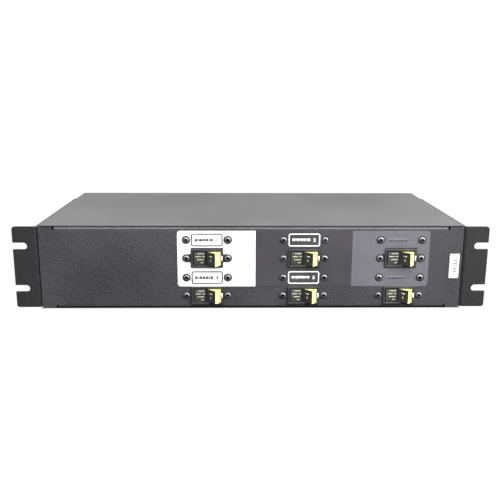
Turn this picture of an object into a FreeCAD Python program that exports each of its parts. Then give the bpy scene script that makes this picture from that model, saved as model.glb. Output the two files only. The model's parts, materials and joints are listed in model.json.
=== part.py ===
# Rack power strip: a 2U power distribution unit with six two-pole rocker breakers on its front
# and six twin outlets on its rear. Millimetres; +X to the right, +Y to the rear, +Z up.
# The origin is the centre of the case's underside.

import FreeCAD, Part
import math
import os
import Sketcher

DIMENSIONS = {
    # case
    "case_width": 430.0, "case_depth": 218.0, "case_height": 86.0,
    "sheet": 1.2, "panel_sheet": 1.5, "panel_height": 84.8, "fit_gap": 0.2,
    "flange_half": 199.0, "flange_depth": 12.0, "notch_width": 2.0, "notch_height": 3.0,
    "panel_top_bend": 2.4, "panel_bottom_bend": 3.0, "panel_corner": 2.5, "case_bend": 2.0,
    "lap_depth": 9.0, "lap_half": 195.0,
    "cover_setback": 2.6, "cover_side_drop": 12.8, "cover_rear_drop": 9.4, "cover_side_half": 95.0,
    "rear_flange_half": 205.0,
    # rack ears
    "rack_width": 482.6, "ear_height": 84.4, "ear_sheet": 3.0, "ear_setback": 0.5, "ear_bend": 4.25,
    "ear_corner": 2.8, "ear_depth": 181.5, "slot_width": 7.1, "slot_end": 226.9, "slot_pitch": 44.45,
    "ear_rear_corner": 6.0,
    # circuits
    "column_first": -45.7, "column_pitch": 98.7, "pole_low": 13.3, "pole_pitch": 19.05,
    "circuit_pitch": 39.4, "screw_pitch": 42.2, "screw_hole": 3.7,
    "window_width": 33.0, "window_height": 19.6,
    # printed overlay and label
    "overlay_left": -75.7, "overlay_right": 180.9, "overlay_low": 23.0, "overlay_high": 81.2,
    "overlay_thick": 0.3, "overlay_corner": 3.0, "overlay_hole": 8.7,
    "overlay_window_below": 9.75, "overlay_window_above": 10.95,
    "label_left": 202.5, "label_right": 212.5, "label_low": 31.5, "label_high": 57.3,
    "label_thick": 0.15, "label_corner": 1.0,
    # breaker case
    "breaker_width": 50.0, "breaker_depth": 52.0, "breaker_wall": 1.8, "pole_gap": 0.05,
    "mouth_left": 6.5, "mouth_right": 15.5, "mouth_half": 7.4,
    "bearing_half": 4.0, "bearing_depth": 6.0, "bearing_thick": 2.0,
    # bezel: its face stands proud of the panel
    "bezel_width": 32.4, "bezel_height": 19.0, "bezel_proud": 1.8, "bezel_corner": 0.8,
    "opening_left": 0.8, "opening_right": 14.15, "opening_half": 7.2, "pocket_right": 15.1,
    "lip": 0.95, "guard_left": 13.9, "guard_recess": 0.3, "guard_back": 0.9, "swing_left": 8.5,
    # rocker, about its pivot
    "rocker_radius": 14.7, "rocker_half": 6.9, "pivot_depth": 5.56, "rocker_face": 3.61,
    "rocker_face_turn": 42.3, "rocker_left": 6.0, "rocker_right": 15.0, "rocker_low": 2.5,
    "pin_radius": 1.25, "hinge_clearance": 0.05, "pin_clearance": 0.02, "hub_radius": 3.2,
    # contact arm, about its own pin
    "arm_across": -8.0, "arm_back": 25.0, "arm_length": 20.0, "arm_tail": 3.0, "arm_half": 2.5,
    "arm_thick": 3.0, "arm_bar_end": 4.5, "button_place": 18.0, "button_radius": 2.0,
    "button_front": 3.5,
    # current path inside each pole
    "strip_back": 34.0, "strip_thick": 1.0, "strip_half": 3.0, "strip_right": 12.0,
    "tab_inner": 12.0, "tab_outer": 20.0, "tab_half": 0.4, "tab_proud": 8.0,
    "coil_across": 13.0, "coil_back": 43.5, "coil_radius": 6.3, "coil_half": 6.0, "coil_bore": 2.4,
    "load_start": 51.0,
    "chute_left": 13.5, "chute_right": 22.0, "chute_front": 22.0, "chute_back": 32.0,
    "chute_half": 5.5, "chute_slot": 1.0, "chute_spine": 1.5,
    # twin outlet, about its centre on the rear panel
    "outlet_offset": 23.2, "outlet_level": 43.0, "outlet_flange_half_x": 20.5, "outlet_flange_half_z": 33.0,
    "outlet_flange_thick": 1.6, "outlet_body_half_x": 19.0, "outlet_body_half_z": 31.5, "outlet_depth": 30.0,
    "outlet_pitch": 31.2, "outlet_corner": 2.5,
    "socket_half_x": 17.3, "socket_half_z": 13.5, "island_half_x": 14.1, "island_half_z": 10.3,
    "socket_depth": 17.6, "island_drop": 0.6, "insert_gap": 0.1, "socket_corner": 3.5, "island_corner": 2.2,
    "slit_half_x": 4.3, "slit_half_z": 1.2, "slit_mouth": 3.0, "chamber_half_z": 2.3,
    "live_across": 6.5, "live_level": -3.2, "earth_slit_level": 4.4,
    "rail_half": 2.75, "rail_thick": 0.8, "rail_reach": 30.5, "rail_earth_half": 2.4,
    "rail_earth_low": -14.0, "rail_earth_high": 23.0, "leaf_near": 1.35, "leaf_far": 1.85,
    "leaf_depth": 22.0, "earth_post_depth": 6.0, "earth_post_half": 4.0,
    # earth path
    "earth_bar_thick": 1.5, "earth_bar_half": 4.0, "earth_bar_over": 7.0,
    "stud_across": -118.0, "stud_radius": 3.0, "stud_root_radius": 3.2, "stud_inner": 13.0,
    "stud_root": 6.0, "stud_outer": 17.0, "stud_nut_flats": 10.0, "stud_nut_thick": 5.0,
    # cable gland
    "gland_across": -165.0, "gland_level": 43.0, "gland_thread": 16.0, "gland_inner": 14.0,
    "gland_flats": 40.0, "gland_hex": 10.0, "gland_collar": 15.4, "gland_collar_end": 21.0,
    "gland_bore": 10.5, "gland_nut_start": 12.0, "gland_nut_hex": 13.0, "gland_dome": 17.5,
    "gland_nut_end": 30.0, "gland_dome_bend": 4.0, "gland_wall": 3.0, "seal_outer": 15.3,
    "seal_inner": 9.5, "seal_start": 21.2, "seal_end": 26.8, "locknut_flats": 38.0, "locknut_thick": 6.0,
    "gland_nut_bore": 15.6,
    # supply terminal block
    "block_left": -180.0, "block_right": -120.0, "block_front": -31.0, "block_back": 17.0,
    "block_top": 24.0, "way_first": -130.0, "way_pitch": -20.0, "way_depth": 14.0, "way_radius": 2.2,
    "supply_radius": 3.5, "supply_depth": 10.0, "supply_level": 12.0,
    "clamp_across": 6.5, "clamp_radius": 2.5, "clamp_length": 5.0, "clamp_depth": 7.0,
    # wiring
    "wire_radius": 2.0, "lane_first": -22.0, "lane_pitch": 12.0, "lane_shift": 6.0,
    "feed_high": 62.0, "feed_low": 43.0, "wire_in_block": 12.0, "bend_share": 0.45,
    "link_width": 3.0, "link_gap": 2.0, "link_thick": 1.0, "link_overlap": 6.5, "link_back": 3.5,
    "load_turn_first": -8.0, "load_turn_last": 38.0,
    # fasteners
    "screw_head": 2.9, "screw_head_thick": 2.0, "screw_dome": 1.1, "screw_shank": 1.75, "screw_length": 7.0,
    "cross_length": 3.4, "cross_width": 0.8, "cross_depth": 1.3,
    "cover_screw_level": 81.2, "cover_screw_across": 66.0, "cover_screw_pitch": 134.0,
    "cover_side_screw_back": 90.0, "cover_side_screw_level": 78.0,
    "ear_screw_front": -80.0, "ear_screw_back": 50.0, "ear_screw_low": 21.0, "ear_screw_high": 65.0,
}

doc = FreeCAD.newDocument("rack_power_strip")
sheet = doc.addObject("Spreadsheet::Sheet", "Dimensions")
for row, (alias, value) in enumerate(DIMENSIONS.items(), 1):
    sheet.set(f"A{row}", alias)
    sheet.set(f"B{row}", str(value))
    sheet.setAlias(f"B{row}", alias)
doc.recompute()


class Size:
    """A length read from the sheet or worked out from others: a number with its expression."""

    def __init__(self, number, text):
        self.number = number
        self.text = text

    def combined(self, sign, other, number):
        return Size(number, f"({self.text} {sign} {other.text})")

    def __add__(self, other):
        other = as_size(other)
        return self.combined("+", other, self.number + other.number)

    def __sub__(self, other):
        other = as_size(other)
        return self.combined("-", other, self.number - other.number)

    def __mul__(self, other):
        other = as_size(other)
        return self.combined("*", other, self.number * other.number)

    def __truediv__(self, other):
        other = as_size(other)
        return self.combined("/", other, self.number / other.number)

    def __neg__(self):
        return Size(-self.number, f"(0 - {self.text})")


def as_size(value):
    return value if isinstance(value, Size) else Size(float(value), f"({float(value)})")


class Dimensions:
    """Every alias of the sheet as a Size."""

    def __getattr__(self, alias):
        return Size(float(sheet.get(alias)), f"Dimensions.{alias}")


size = Dimensions()
nothing = as_size(0)
subparts = {}

front = -size.case_depth / 2
rear = size.case_depth / 2
side = size.case_width / 2
ear_low = (size.case_height - size.ear_height) / 2
half_screws = size.screw_pitch / 2


# ---------------------------------------------------------------- shared tools

def bind(item, prop, value):
    item.setExpression(prop, as_size(value).text)


def place(item, x=0, y=0, z=0):
    for axis, value in zip("xyz", (x, y, z)):
        bind(item, f"Placement.Base.{axis}", value)
    return item


def keep(label, item, x=0, y=0, z=0):
    """Names a finished sub-part and puts it in its place."""
    item.Label = label
    subparts[label] = place(item, x, y, z)
    return item


def block(x, y, z):
    """A box from its low and high coordinate along each axis."""
    item = doc.addObject("Part::Box", "Block")
    for prop, axis, (low, high) in zip(("Length", "Width", "Height"), "xyz", (x, y, z)):
        bind(item, prop, as_size(high) - as_size(low))
        bind(item, f"Placement.Base.{axis}", low)
    return item


def around(centre, half):
    """The low and high coordinate of a length that is centred."""
    return (as_size(centre) - half, as_size(centre) + half)


AXIS_TURNS = {
    "x": FreeCAD.Rotation(FreeCAD.Vector(0, 1, 0), 90),
    "y": FreeCAD.Rotation(FreeCAD.Vector(1, 0, 0), -90),
    "z": FreeCAD.Rotation(),
}


def rod(axis, start, length, radius):
    """A cylinder that runs from its start along +X, +Y or +Z."""
    item = doc.addObject("Part::Cylinder", "Rod")
    item.Placement = FreeCAD.Placement(FreeCAD.Vector(), AXIS_TURNS[axis])
    bind(item, "Radius", radius)
    bind(item, "Height", length)
    return place(item, *start)


def hexagon(start, length, flats):
    """A six-sided bar that runs from its start along +Y, given across its flats."""
    item = doc.addObject("Part::Prism", "Hexagon")
    item.Polygon = 6
    item.Placement = FreeCAD.Placement(FreeCAD.Vector(), AXIS_TURNS["y"])
    bind(item, "Circumradius", as_size(flats) / math.sqrt(3))
    bind(item, "Height", length)
    return place(item, *start)


def fuse(*items):
    item = doc.addObject("Part::MultiFuse", "Fused")
    item.Shapes = list(items)
    item.Refine = True
    return item


def cut(base, *tools):
    item = doc.addObject("Part::Cut", "Cut")
    item.Base = base
    item.Tool = tools[0] if len(tools) == 1 else fuse(*tools)
    item.Refine = True
    return item


def common(*items):
    item = doc.addObject("Part::MultiCommon", "Common")
    item.Shapes = list(items)
    return item


def edges_along(shape, axis, spots):
    """Numbers of the straight edges that run along an axis through one of the spots, which are
    given by the two other coordinates."""
    others = [name for name in "xyz" if name != axis]
    found = []
    for number, edge in enumerate(shape.Edges, 1):
        ends = [vertex.Point for vertex in edge.Vertexes]
        for spot in spots:
            gaps = [abs(getattr(end, other) - as_size(value).number)
                    for end in ends for other, value in zip(others, spot)]
            if len(ends) == 2 and max(gaps) < 0.001:
                found.append(number)
    return found


def rounded(item, axis, spots, radius):
    """Rounds a primitive's edges along one axis."""
    doc.recompute()
    fillet = doc.addObject("Part::Fillet", "Rounded")
    fillet.Base = item
    fillet.Edges = [(number, radius.number, radius.number)
                    for number in edges_along(item.Shape, axis, spots)]
    return fillet


def rounded_block(x, y, z, radius, axis="y"):
    """A box with its four edges along one axis rounded."""
    pairs = {"x": (y, z), "y": (x, z), "z": (x, y)}[axis]
    spots = [(first, second) for first in pairs[0] for second in pairs[1]]
    return rounded(block(x, y, z), axis, spots, radius)


def group(label, item, moves):
    """One sub-part of several identical solids, each a copy moved to its own place."""
    doc.recompute()
    copies = []
    for move in moves:
        copy = item.Shape.copy()
        copy.Placement = move * copy.Placement
        copies.append(copy)
    gathered = doc.addObject("Part::Feature", label)
    gathered.Shape = Part.makeCompound(copies)
    gathered.Label = label
    subparts[label] = gathered
    return gathered


def moved(x, y, z, turn=None):
    spot = FreeCAD.Vector(*(as_size(value).number for value in (x, y, z)))
    return FreeCAD.Placement(spot, turn or FreeCAD.Rotation())


# ---------------------------------------------------------------- sheet metal tools

def new_body(name):
    return doc.addObject("PartDesign::Body", name)


def sketch_on(body, role, offset=0):
    """A sketch on one of the body's own planes, moved along that plane's normal."""
    sketch = body.newObject("Sketcher::SketchObject", "Sketch")
    plane = next(item for item in body.Origin.OriginFeatures if item.Role == role)
    sketch.AttachmentSupport = [(plane, "")]
    sketch.MapMode = "FlatFace"
    bind(sketch, "AttachmentOffset.Base.z", offset)
    return sketch


def fix(sketch, kind, target, value):
    """A dimension from the sketch's origin, or a radius, bound to the sheet."""
    value = as_size(value)
    number = sketch.addConstraint(Sketcher.Constraint(kind, *target, value.number))
    sketch.setExpression(f"Constraints[{number}]", value.text)


def polygon(sketch, corners):
    first = sketch.GeometryCount
    spots = [FreeCAD.Vector(as_size(u).number, as_size(v).number, 0) for u, v in corners]
    for start, end in zip(spots, spots[1:] + spots[:1]):
        sketch.addGeometry(Part.LineSegment(start, end), False)
    for step, (u, v) in enumerate(corners):
        line = first + step
        following = first + (step + 1) % len(corners)
        sketch.addConstraint(Sketcher.Constraint("Coincident", line, 2, following, 1))
        fix(sketch, "DistanceX", (-1, 1, line, 1), u)
        fix(sketch, "DistanceY", (-1, 1, line, 1), v)
    return sketch


def rectangle(sketch, u, v):
    return polygon(sketch, [(u[0], v[0]), (u[1], v[0]), (u[1], v[1]), (u[0], v[1])])


def circle(sketch, u, v, radius):
    centre = FreeCAD.Vector(as_size(u).number, as_size(v).number, 0)
    ring = sketch.addGeometry(Part.Circle(centre, FreeCAD.Vector(0, 0, 1), as_size(radius).number), False)
    fix(sketch, "DistanceX", (-1, 1, ring, 3), u)
    fix(sketch, "DistanceY", (-1, 1, ring, 3), v)
    fix(sketch, "Radius", (ring,), radius)


def pad(body, sketch, length, midplane=False, backwards=False):
    feature = body.newObject("PartDesign::Pad", "Pad")
    feature.Profile = sketch
    feature.Midplane = midplane
    feature.Reversed = backwards
    bind(feature, "Length", length)
    return feature


def pocket_through(body, sketch):
    """Cuts a sketch through everything on both sides of its plane."""
    feature = body.newObject("PartDesign::Pocket", "Pocket")
    feature.Profile = sketch
    feature.Type = "ThroughAll"
    feature.Midplane = True
    return feature


def bend(body, axis, spots, radius):
    """Rounds the edges of the body's last feature that run along an axis through the spots."""
    doc.recompute()
    last = body.Tip
    fillet = body.newObject("PartDesign::Fillet", "Bend")
    fillet.Base = (last, [f"Edge{number}" for number in edges_along(last.Shape, axis, spots)])
    bind(fillet, "Radius", radius)
    return fillet


# ---------------------------------------------------------------- places of the circuits

def column(index):
    return size.column_first + size.column_pitch * index


def pole(row_index, pole_index):
    """Height of a pole: row 0 is the lower breakers, pole 0 carries the rocker."""
    return size.pole_low + size.circuit_pitch * row_index + size.pole_pitch * pole_index


def circuits():
    """Circuit numbers with their column and row: 1 to 3 above, 4 to 6 below."""
    for number in range(1, 7):
        yield number, (number - 1) % 3, 1 - (number - 1) // 3


def every_pole():
    for number, column_index, row_index in circuits():
        for pole_index in range(2):
            yield column(column_index), pole(row_index, pole_index)


def outlet_centre(column_index, row_index):
    """Upper breakers feed the twin outlet on the column's left, lower ones that on its right."""
    return column(column_index) + size.outlet_offset * (-1 if row_index else 1)


bezel_front = front - size.bezel_proud
case_front = size.bezel_proud + size.panel_sheet
case_back = case_front + size.breaker_depth
tab_end = case_back + size.tab_proud


# ---------------------------------------------------------------- case

def make_base_pan():
    """Floor and side walls bent from one sheet, with a joggled lip over the front panel's flange."""
    body = new_body("BasePan")
    floor_front = front + size.flange_depth + size.fit_gap * 5
    inner = side - size.sheet
    sketch = sketch_on(body, "XZ_Plane", -floor_front)
    polygon(sketch, [(-side, 0), (side, 0), (side, size.panel_height), (inner, size.panel_height),
                     (inner, size.sheet), (-inner, size.sheet), (-inner, size.panel_height),
                     (-side, size.panel_height)])
    pad(body, sketch, rear - floor_front, backwards=True)
    cheeks = sketch_on(body, "XZ_Plane", -floor_front)
    rectangle(cheeks, (inner, side), (0, size.panel_height))
    rectangle(cheeks, (-side, -inner), (0, size.panel_height))
    pad(body, cheeks, floor_front - front - size.panel_sheet)
    lip = sketch_on(body, "YZ_Plane")
    low, high = size.panel_sheet, size.panel_sheet + size.sheet
    polygon(lip, [(floor_front, 0), (floor_front + size.sheet, 0), (floor_front + size.sheet, high),
                  (floor_front - size.lap_depth, high), (floor_front - size.lap_depth, low),
                  (floor_front, low)])
    pad(body, lip, size.lap_half * 2, midplane=True)
    bend(body, "y", [(side, 0), (-side, 0)], size.case_bend)
    holes = sketch_on(body, "YZ_Plane")
    circle(holes, size.cover_side_screw_back, size.cover_side_screw_level, size.screw_hole / 2)
    for back in (size.ear_screw_front, size.ear_screw_back):
        for level in (size.ear_screw_low, size.ear_screw_high):
            circle(holes, back, level, size.screw_hole / 2)
    pocket_through(body, holes)
    keep("base_pan", body)


def flanged_plate(body, flange_half, plate_front, plate_sheet, low, high, flange_to):
    """A plate with a bottom and a top flange bent from it: the profile that both panels share."""
    near, far = plate_front, plate_front + plate_sheet
    sketch = sketch_on(body, "YZ_Plane")
    if flange_to.number > far.number:
        polygon(sketch, [(near, low), (flange_to, low), (flange_to, low + plate_sheet),
                         (far, low + plate_sheet), (far, high - plate_sheet),
                         (flange_to, high - plate_sheet), (flange_to, high), (near, high)])
    else:
        polygon(sketch, [(far, low), (far, high), (flange_to, high), (flange_to, high - plate_sheet),
                         (near, high - plate_sheet), (near, low + plate_sheet),
                         (flange_to, low + plate_sheet), (flange_to, low)])
    pad(body, sketch, flange_half * 2, midplane=True)


def make_front_panel():
    """Front plate with bent top and bottom edges, relief notches and the breakers' openings."""
    body = new_body("FrontPanel")
    top = size.panel_height
    flanged_plate(body, size.flange_half, front, size.panel_sheet, nothing, top, front + size.flange_depth)
    inner_face = front + size.panel_sheet
    bend(body, "x", [(front, 0)], size.panel_bottom_bend)
    bend(body, "x", [(front, top)], size.panel_top_bend)
    bend(body, "x", [(inner_face, size.panel_sheet)], size.panel_bottom_bend - size.panel_sheet)
    bend(body, "x", [(inner_face, top - size.panel_sheet)], size.panel_top_bend - size.panel_sheet)
    notch_out = size.flange_half + size.notch_width
    wings = sketch_on(body, "XZ_Plane", -front)
    for sign in (1, -1):
        polygon(wings, [(size.flange_half * sign, size.notch_height), (notch_out * sign, size.notch_height),
                        (notch_out * sign, 0), (side * sign, 0), (side * sign, top),
                        (notch_out * sign, top), (notch_out * sign, top - size.notch_height),
                        (size.flange_half * sign, top - size.notch_height)])
    pad(body, wings, size.panel_sheet, backwards=True)
    bend(body, "y", [(side, 0), (-side, 0)], size.panel_corner)
    openings = sketch_on(body, "XZ_Plane", -front)
    for number, column_index, row_index in circuits():
        across = column(column_index)
        rectangle(openings, around(across, size.window_width / 2),
                  around(pole(row_index, 0), size.window_height / 2))
    for across, level in every_pole():
        for sign in (1, -1):
            circle(openings, across + half_screws * sign, level, size.screw_hole / 2)
    pocket_through(body, openings)
    keep("front_panel", body)


def make_rear_panel():
    """Rear plate that stands on the floor, open for the outlets, the gland and the earth stud."""
    body = new_body("RearPanel")
    low, high = size.sheet, size.panel_height
    flanged_plate(body, size.rear_flange_half, rear - size.sheet, size.sheet, low, high,
                  rear - size.flange_depth)
    wings = sketch_on(body, "XZ_Plane", -rear)
    edge = side - size.sheet - size.fit_gap
    rectangle(wings, (size.rear_flange_half, edge), (low, high))
    rectangle(wings, (-edge, -size.rear_flange_half), (low, high))
    pad(body, wings, size.sheet)
    openings = sketch_on(body, "XZ_Plane", -rear)
    for number, column_index, row_index in circuits():
        rectangle(openings,
                  around(outlet_centre(column_index, row_index), size.outlet_body_half_x + size.fit_gap),
                  around(size.outlet_level, size.outlet_body_half_z + size.fit_gap))
    circle(openings, size.gland_across, size.gland_level, size.gland_thread + size.fit_gap)
    circle(openings, size.stud_across, size.outlet_level, size.stud_root_radius + size.fit_gap)
    for across in cover_screw_places():
        circle(openings, across, size.cover_screw_level, size.screw_hole / 2)
    pocket_through(body, openings)
    keep("rear_panel", body)


def cover_screw_places():
    return [size.cover_screw_across * sign + size.cover_screw_pitch * step
            for sign, step in ((-1, -1), (-1, 0), (1, 0), (1, 1))]


def make_top_cover():
    """Flat lid with a flange down the rear and one down inside each side wall."""
    body = new_body("TopCover")
    under, top = size.panel_height, size.case_height
    lid_front = front + size.cover_setback
    lid_back = rear + size.sheet
    profile = sketch_on(body, "YZ_Plane")
    rear_low = top - size.cover_rear_drop
    polygon(profile, [(lid_front, under), (rear, under), (rear, rear_low), (lid_back, rear_low),
                      (lid_back, top), (lid_front, top)])
    pad(body, profile, size.case_width, midplane=True)
    outer = side - size.sheet - size.fit_gap
    flanges = sketch_on(body, "XZ_Plane")
    rectangle(flanges, (outer - size.sheet, outer), (under - size.cover_side_drop, under))
    rectangle(flanges, (-outer, size.sheet - outer), (under - size.cover_side_drop, under))
    pad(body, flanges, size.cover_side_half * 2, midplane=True)
    bend(body, "x", [(lid_back, top)], size.case_bend)
    side_holes = sketch_on(body, "YZ_Plane")
    circle(side_holes, size.cover_side_screw_back, size.cover_side_screw_level, size.screw_hole / 2)
    pocket_through(body, side_holes)
    rear_holes = sketch_on(body, "XZ_Plane")
    for across in cover_screw_places():
        circle(rear_holes, across, size.cover_screw_level, size.screw_hole / 2)
    pocket_through(body, rear_holes)
    keep("top_cover", body)


def make_rack_ear(label, sign):
    """An angle bracket: one flange along the case's side, the other with two open rack slots."""
    body = new_body("RackEar")
    face = front + size.ear_setback
    outer = size.rack_width / 2
    low, high = ear_low, ear_low + size.ear_height
    flange = side + size.ear_sheet
    angle = sketch_on(body, "XY_Plane", low)
    polygon(angle, [(side * sign, face), (outer * sign, face), (outer * sign, face + size.ear_sheet),
                    (flange * sign, face + size.ear_sheet), (flange * sign, front + size.ear_depth),
                    (side * sign, front + size.ear_depth)])
    pad(body, angle, size.ear_height)
    bend(body, "z", [(side * sign, face)], size.ear_bend)
    bend(body, "z", [(flange * sign, face + size.ear_sheet)], size.ear_bend - size.ear_sheet)
    bend(body, "y", [(outer * sign, low), (outer * sign, high)], size.ear_corner)
    bend(body, "x", [(front + size.ear_depth, low), (front + size.ear_depth, high)], size.ear_rear_corner)
    slots = sketch_on(body, "XZ_Plane")
    bolt = size.slot_end + size.slot_width / 2
    for step in (-1, 1):
        centre = size.case_height / 2 + size.slot_pitch / 2 * step
        rectangle(slots, (bolt * sign, (outer + size.slot_width) * sign), around(centre, size.slot_width / 2))
    pocket_through(body, slots)
    ends = sketch_on(body, "XZ_Plane")
    for step in (-1, 1):
        circle(ends, bolt * sign, size.case_height / 2 + size.slot_pitch / 2 * step, size.slot_width / 2)
    pocket_through(body, ends)
    holes = sketch_on(body, "YZ_Plane")
    for back in (size.ear_screw_front, size.ear_screw_back):
        for level in (size.ear_screw_low, size.ear_screw_high):
            circle(holes, back, level, size.screw_hole / 2)
    pocket_through(body, holes)
    keep(label, body)


def make_circuit_overlay():
    """Printed sheet over the panel, with round holes for screws and keyhole-shaped breaker openings."""
    body = new_body("CircuitOverlay")
    left, right, low, high = size.overlay_left, size.overlay_right, size.overlay_low, size.overlay_high
    outline = sketch_on(body, "XZ_Plane", -front)
    rectangle(outline, (left, right), (low, high))
    pad(body, outline, size.overlay_thick)
    bend(body, "y", [(left, low), (left, high), (right, low), (right, high)], size.overlay_corner)
    hole = size.overlay_hole / 2
    rounds = sketch_on(body, "XZ_Plane", -front)
    arms = sketch_on(body, "XZ_Plane", -front)
    windows = sketch_on(body, "XZ_Plane", -front)
    for column_index in range(3):
        across = column(column_index)
        for level in (pole(1, 1), pole(1, 0), pole(0, 1)):
            circle(rounds, across - half_screws, level, hole)
            circle(rounds, across + half_screws, level, hole)
        rectangle(arms, around(across, half_screws), around(pole(1, 0), hole))
        rectangle(windows, around(across, size.window_width / 2),
                  (pole(1, 0) - size.overlay_window_below, pole(1, 0) + size.overlay_window_above))
    for sketch in (rounds, arms, windows):
        pocket_through(body, sketch)
    keep("circuit_overlay", body)


def make_asset_label():
    left, right, low, high = size.label_left, size.label_right, size.label_low, size.label_high
    keep("asset_label", rounded_block((left, right), (front - size.label_thick, front), (low, high),
                                      size.label_corner))


# ---------------------------------------------------------------- breakers

def hinge_bore(x, y, low, high):
    return rod("z", (x, y, low), as_size(high) - as_size(low), size.pin_radius + size.pin_clearance)


def pole_span():
    """Low and high side of a two-pole breaker, from the rocker pole's centre."""
    return size.pole_gap - size.pole_pitch / 2, size.pole_pitch * 1.5 - size.pole_gap


def make_breaker_case(number, across, level):
    """Moulded two-pole case, hollow, open at the rocker, with bearings for both hinge pins."""
    wall = size.breaker_wall
    low, high = pole_span()
    half = size.breaker_width / 2
    shell = block((-half, half), (case_front, case_back), (low, high))
    cavity = block((wall - half, half - wall), (case_front + wall, case_back - wall),
                   (low + wall, high - wall))
    bearing = block(around(0, size.bearing_half), (case_front + wall, case_front + wall + size.bearing_depth),
                    (size.mouth_half, size.mouth_half + size.bearing_thick))
    mouth = block((-size.mouth_left, size.mouth_right), (case_front - wall, case_front + wall * 2),
                  around(0, size.mouth_half))
    body = fuse(cut(shell, cavity), bearing)
    tools = [mouth,
             hinge_bore(0, size.pivot_depth, low + wall / 4, size.mouth_half + size.bearing_thick * 2),
             hinge_bore(size.arm_across, size.arm_back, low + wall / 4, high - wall / 4)]
    for pole_index in range(2):
        centre = size.pole_pitch * pole_index
        slot = around(centre, size.tab_half + size.pin_clearance)
        for inner, outer in ((-size.tab_outer, -size.tab_inner), (size.tab_inner, size.tab_outer)):
            tools.append(block((inner, outer), (case_back - wall * 2, case_back + wall), slot))
        for sign in (1, -1):
            tools.append(rod("y", (half_screws * sign, case_front - wall, centre), wall * 3,
                             size.screw_shank + size.hinge_clearance))
    keep(f"breaker_case_{number}", cut(body, *tools), across, bezel_front, level)


def make_breaker_bezel(number, across, level):
    """Frame through the panel: a recessed guard on the left, the rocker's opening on the right."""
    half_x, half_z = size.bezel_width / 2, size.bezel_height / 2
    opening = around(0, size.opening_half)
    frame = rounded_block((-half_x, half_x), (0, case_front), (-half_z, half_z), size.bezel_corner)
    recess = block((-size.guard_left, -size.opening_left), (-size.lip, size.guard_recess), opening)
    window = block((-size.opening_left, size.opening_right), (-size.lip, case_front * 2), opening)
    behind_lip = block((size.opening_left, size.pocket_right), (size.lip, case_front * 2), opening)
    behind_guard = block((-size.swing_left, size.opening_left), (size.guard_back, case_front * 2), opening)
    keep(f"breaker_bezel_{number}", cut(frame, recess, window, behind_lip, behind_guard),
         across, bezel_front, level)


def make_rocker(number, across, level):
    """A drum sector about the hinge, cut by a flat face, with a hub and its bore."""
    half = size.rocker_half
    reach = size.rocker_radius * 2
    drum = rod("z", (0, 0, -half), half * 2, size.rocker_radius)
    flat = block((-reach, reach), (-size.rocker_face, reach), (-reach, reach))
    turned = doc.addObject("Part::Compound", "Turned")
    turned.Links = [flat]
    turned.Placement = FreeCAD.Placement(FreeCAD.Vector(), FreeCAD.Rotation(FreeCAD.Vector(0, 0, 1), 0))
    bind(turned, "Placement.Rotation.Angle", -size.rocker_face_turn)
    limits = block((-size.rocker_left, size.rocker_right), (-reach, size.rocker_low), (-reach, reach))
    hub = rod("z", (0, 0, -half), half * 2, size.hub_radius)
    bore = rod("z", (0, 0, -half * 2), half * 4, size.pin_radius + size.hinge_clearance)
    keep(f"rocker_{number}", cut(fuse(common(drum, turned, limits), hub), bore),
         across, bezel_front + size.pivot_depth, level)


def make_contact_arm(number, across, level):
    """Insulating bar on a pin with a contact blade for each pole."""
    top = size.pole_pitch + size.arm_bar_end
    pieces = [rod("z", (0, 0, -size.arm_bar_end), top + size.arm_bar_end, size.arm_tail)]
    half = size.arm_thick / 2
    for pole_index in range(2):
        centre = size.pole_pitch * pole_index
        pieces.append(block((0, size.arm_length), (-half, half), around(centre, size.arm_half)))
        pieces.append(rod("y", (size.button_place, 0, centre), size.button_front, size.button_radius))
    bore = rod("z", (0, 0, -size.pole_pitch), size.pole_pitch * 4, size.pin_radius + size.hinge_clearance)
    keep(f"contact_arm_{number}", cut(fuse(*pieces), bore),
         across + size.arm_across, bezel_front + size.arm_back, level)


def make_breaker_internals():
    """Hinge pins, and in each pole the fixed contact, load tab, trip coil and arc chute."""
    low, high = pole_span()
    wall = size.breaker_wall
    pin_low = low + wall / 2
    bearing_top = size.mouth_half + size.bearing_thick
    seats = [(column(column_index), pole(row_index, 0)) for number, column_index, row_index in circuits()]
    rocker_pin = rod("z", (0, size.pivot_depth, pin_low), bearing_top - pin_low, size.pin_radius)
    arm_pin = rod("z", (size.arm_across, size.arm_back, pin_low), high - wall / 2 - pin_low, size.pin_radius)
    pins = doc.addObject("Part::Compound", "PinPair")
    pins.Links = [rocker_pin, arm_pin]
    group("breaker_pins", pins, [moved(x, bezel_front, z) for x, z in seats])

    strip_back = size.strip_back + size.strip_thick
    strip = block((-size.tab_outer, size.strip_right), (size.strip_back, strip_back),
                  around(0, size.strip_half))
    line_tab = block((-size.tab_outer, -size.tab_inner), (size.strip_back, tab_end), around(0, size.tab_half))
    load_tab = block((size.tab_inner, size.tab_outer), (size.load_start, tab_end), around(0, size.tab_half))
    coil_x, coil_y, coil_half = size.coil_across, size.coil_back, size.coil_half
    coil = cut(rod("z", (coil_x, coil_y, -coil_half), coil_half * 2, size.coil_radius),
               rod("z", (coil_x, coil_y, -coil_half * 2), coil_half * 4, size.coil_bore))
    stack = block((size.chute_left, size.chute_right), (size.chute_front, size.chute_back),
                  around(0, size.chute_half))
    slots = []
    for step in range(-2, 3):
        centre = size.chute_slot * 2 * step
        slots.append(block((size.chute_left - size.chute_slot, size.chute_right - size.chute_spine),
                           (size.chute_front - size.chute_slot, size.chute_back + size.chute_slot),
                           around(centre, size.chute_slot / 2)))
    places = [moved(x, bezel_front, z) for x, z in every_pole()]
    group("line_terminals", fuse(strip, line_tab), places)
    group("load_terminals", load_tab, places)
    group("trip_coils", coil, places)
    group("arc_chutes", cut(stack, *slots), places)


# ---------------------------------------------------------------- outlets

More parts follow.
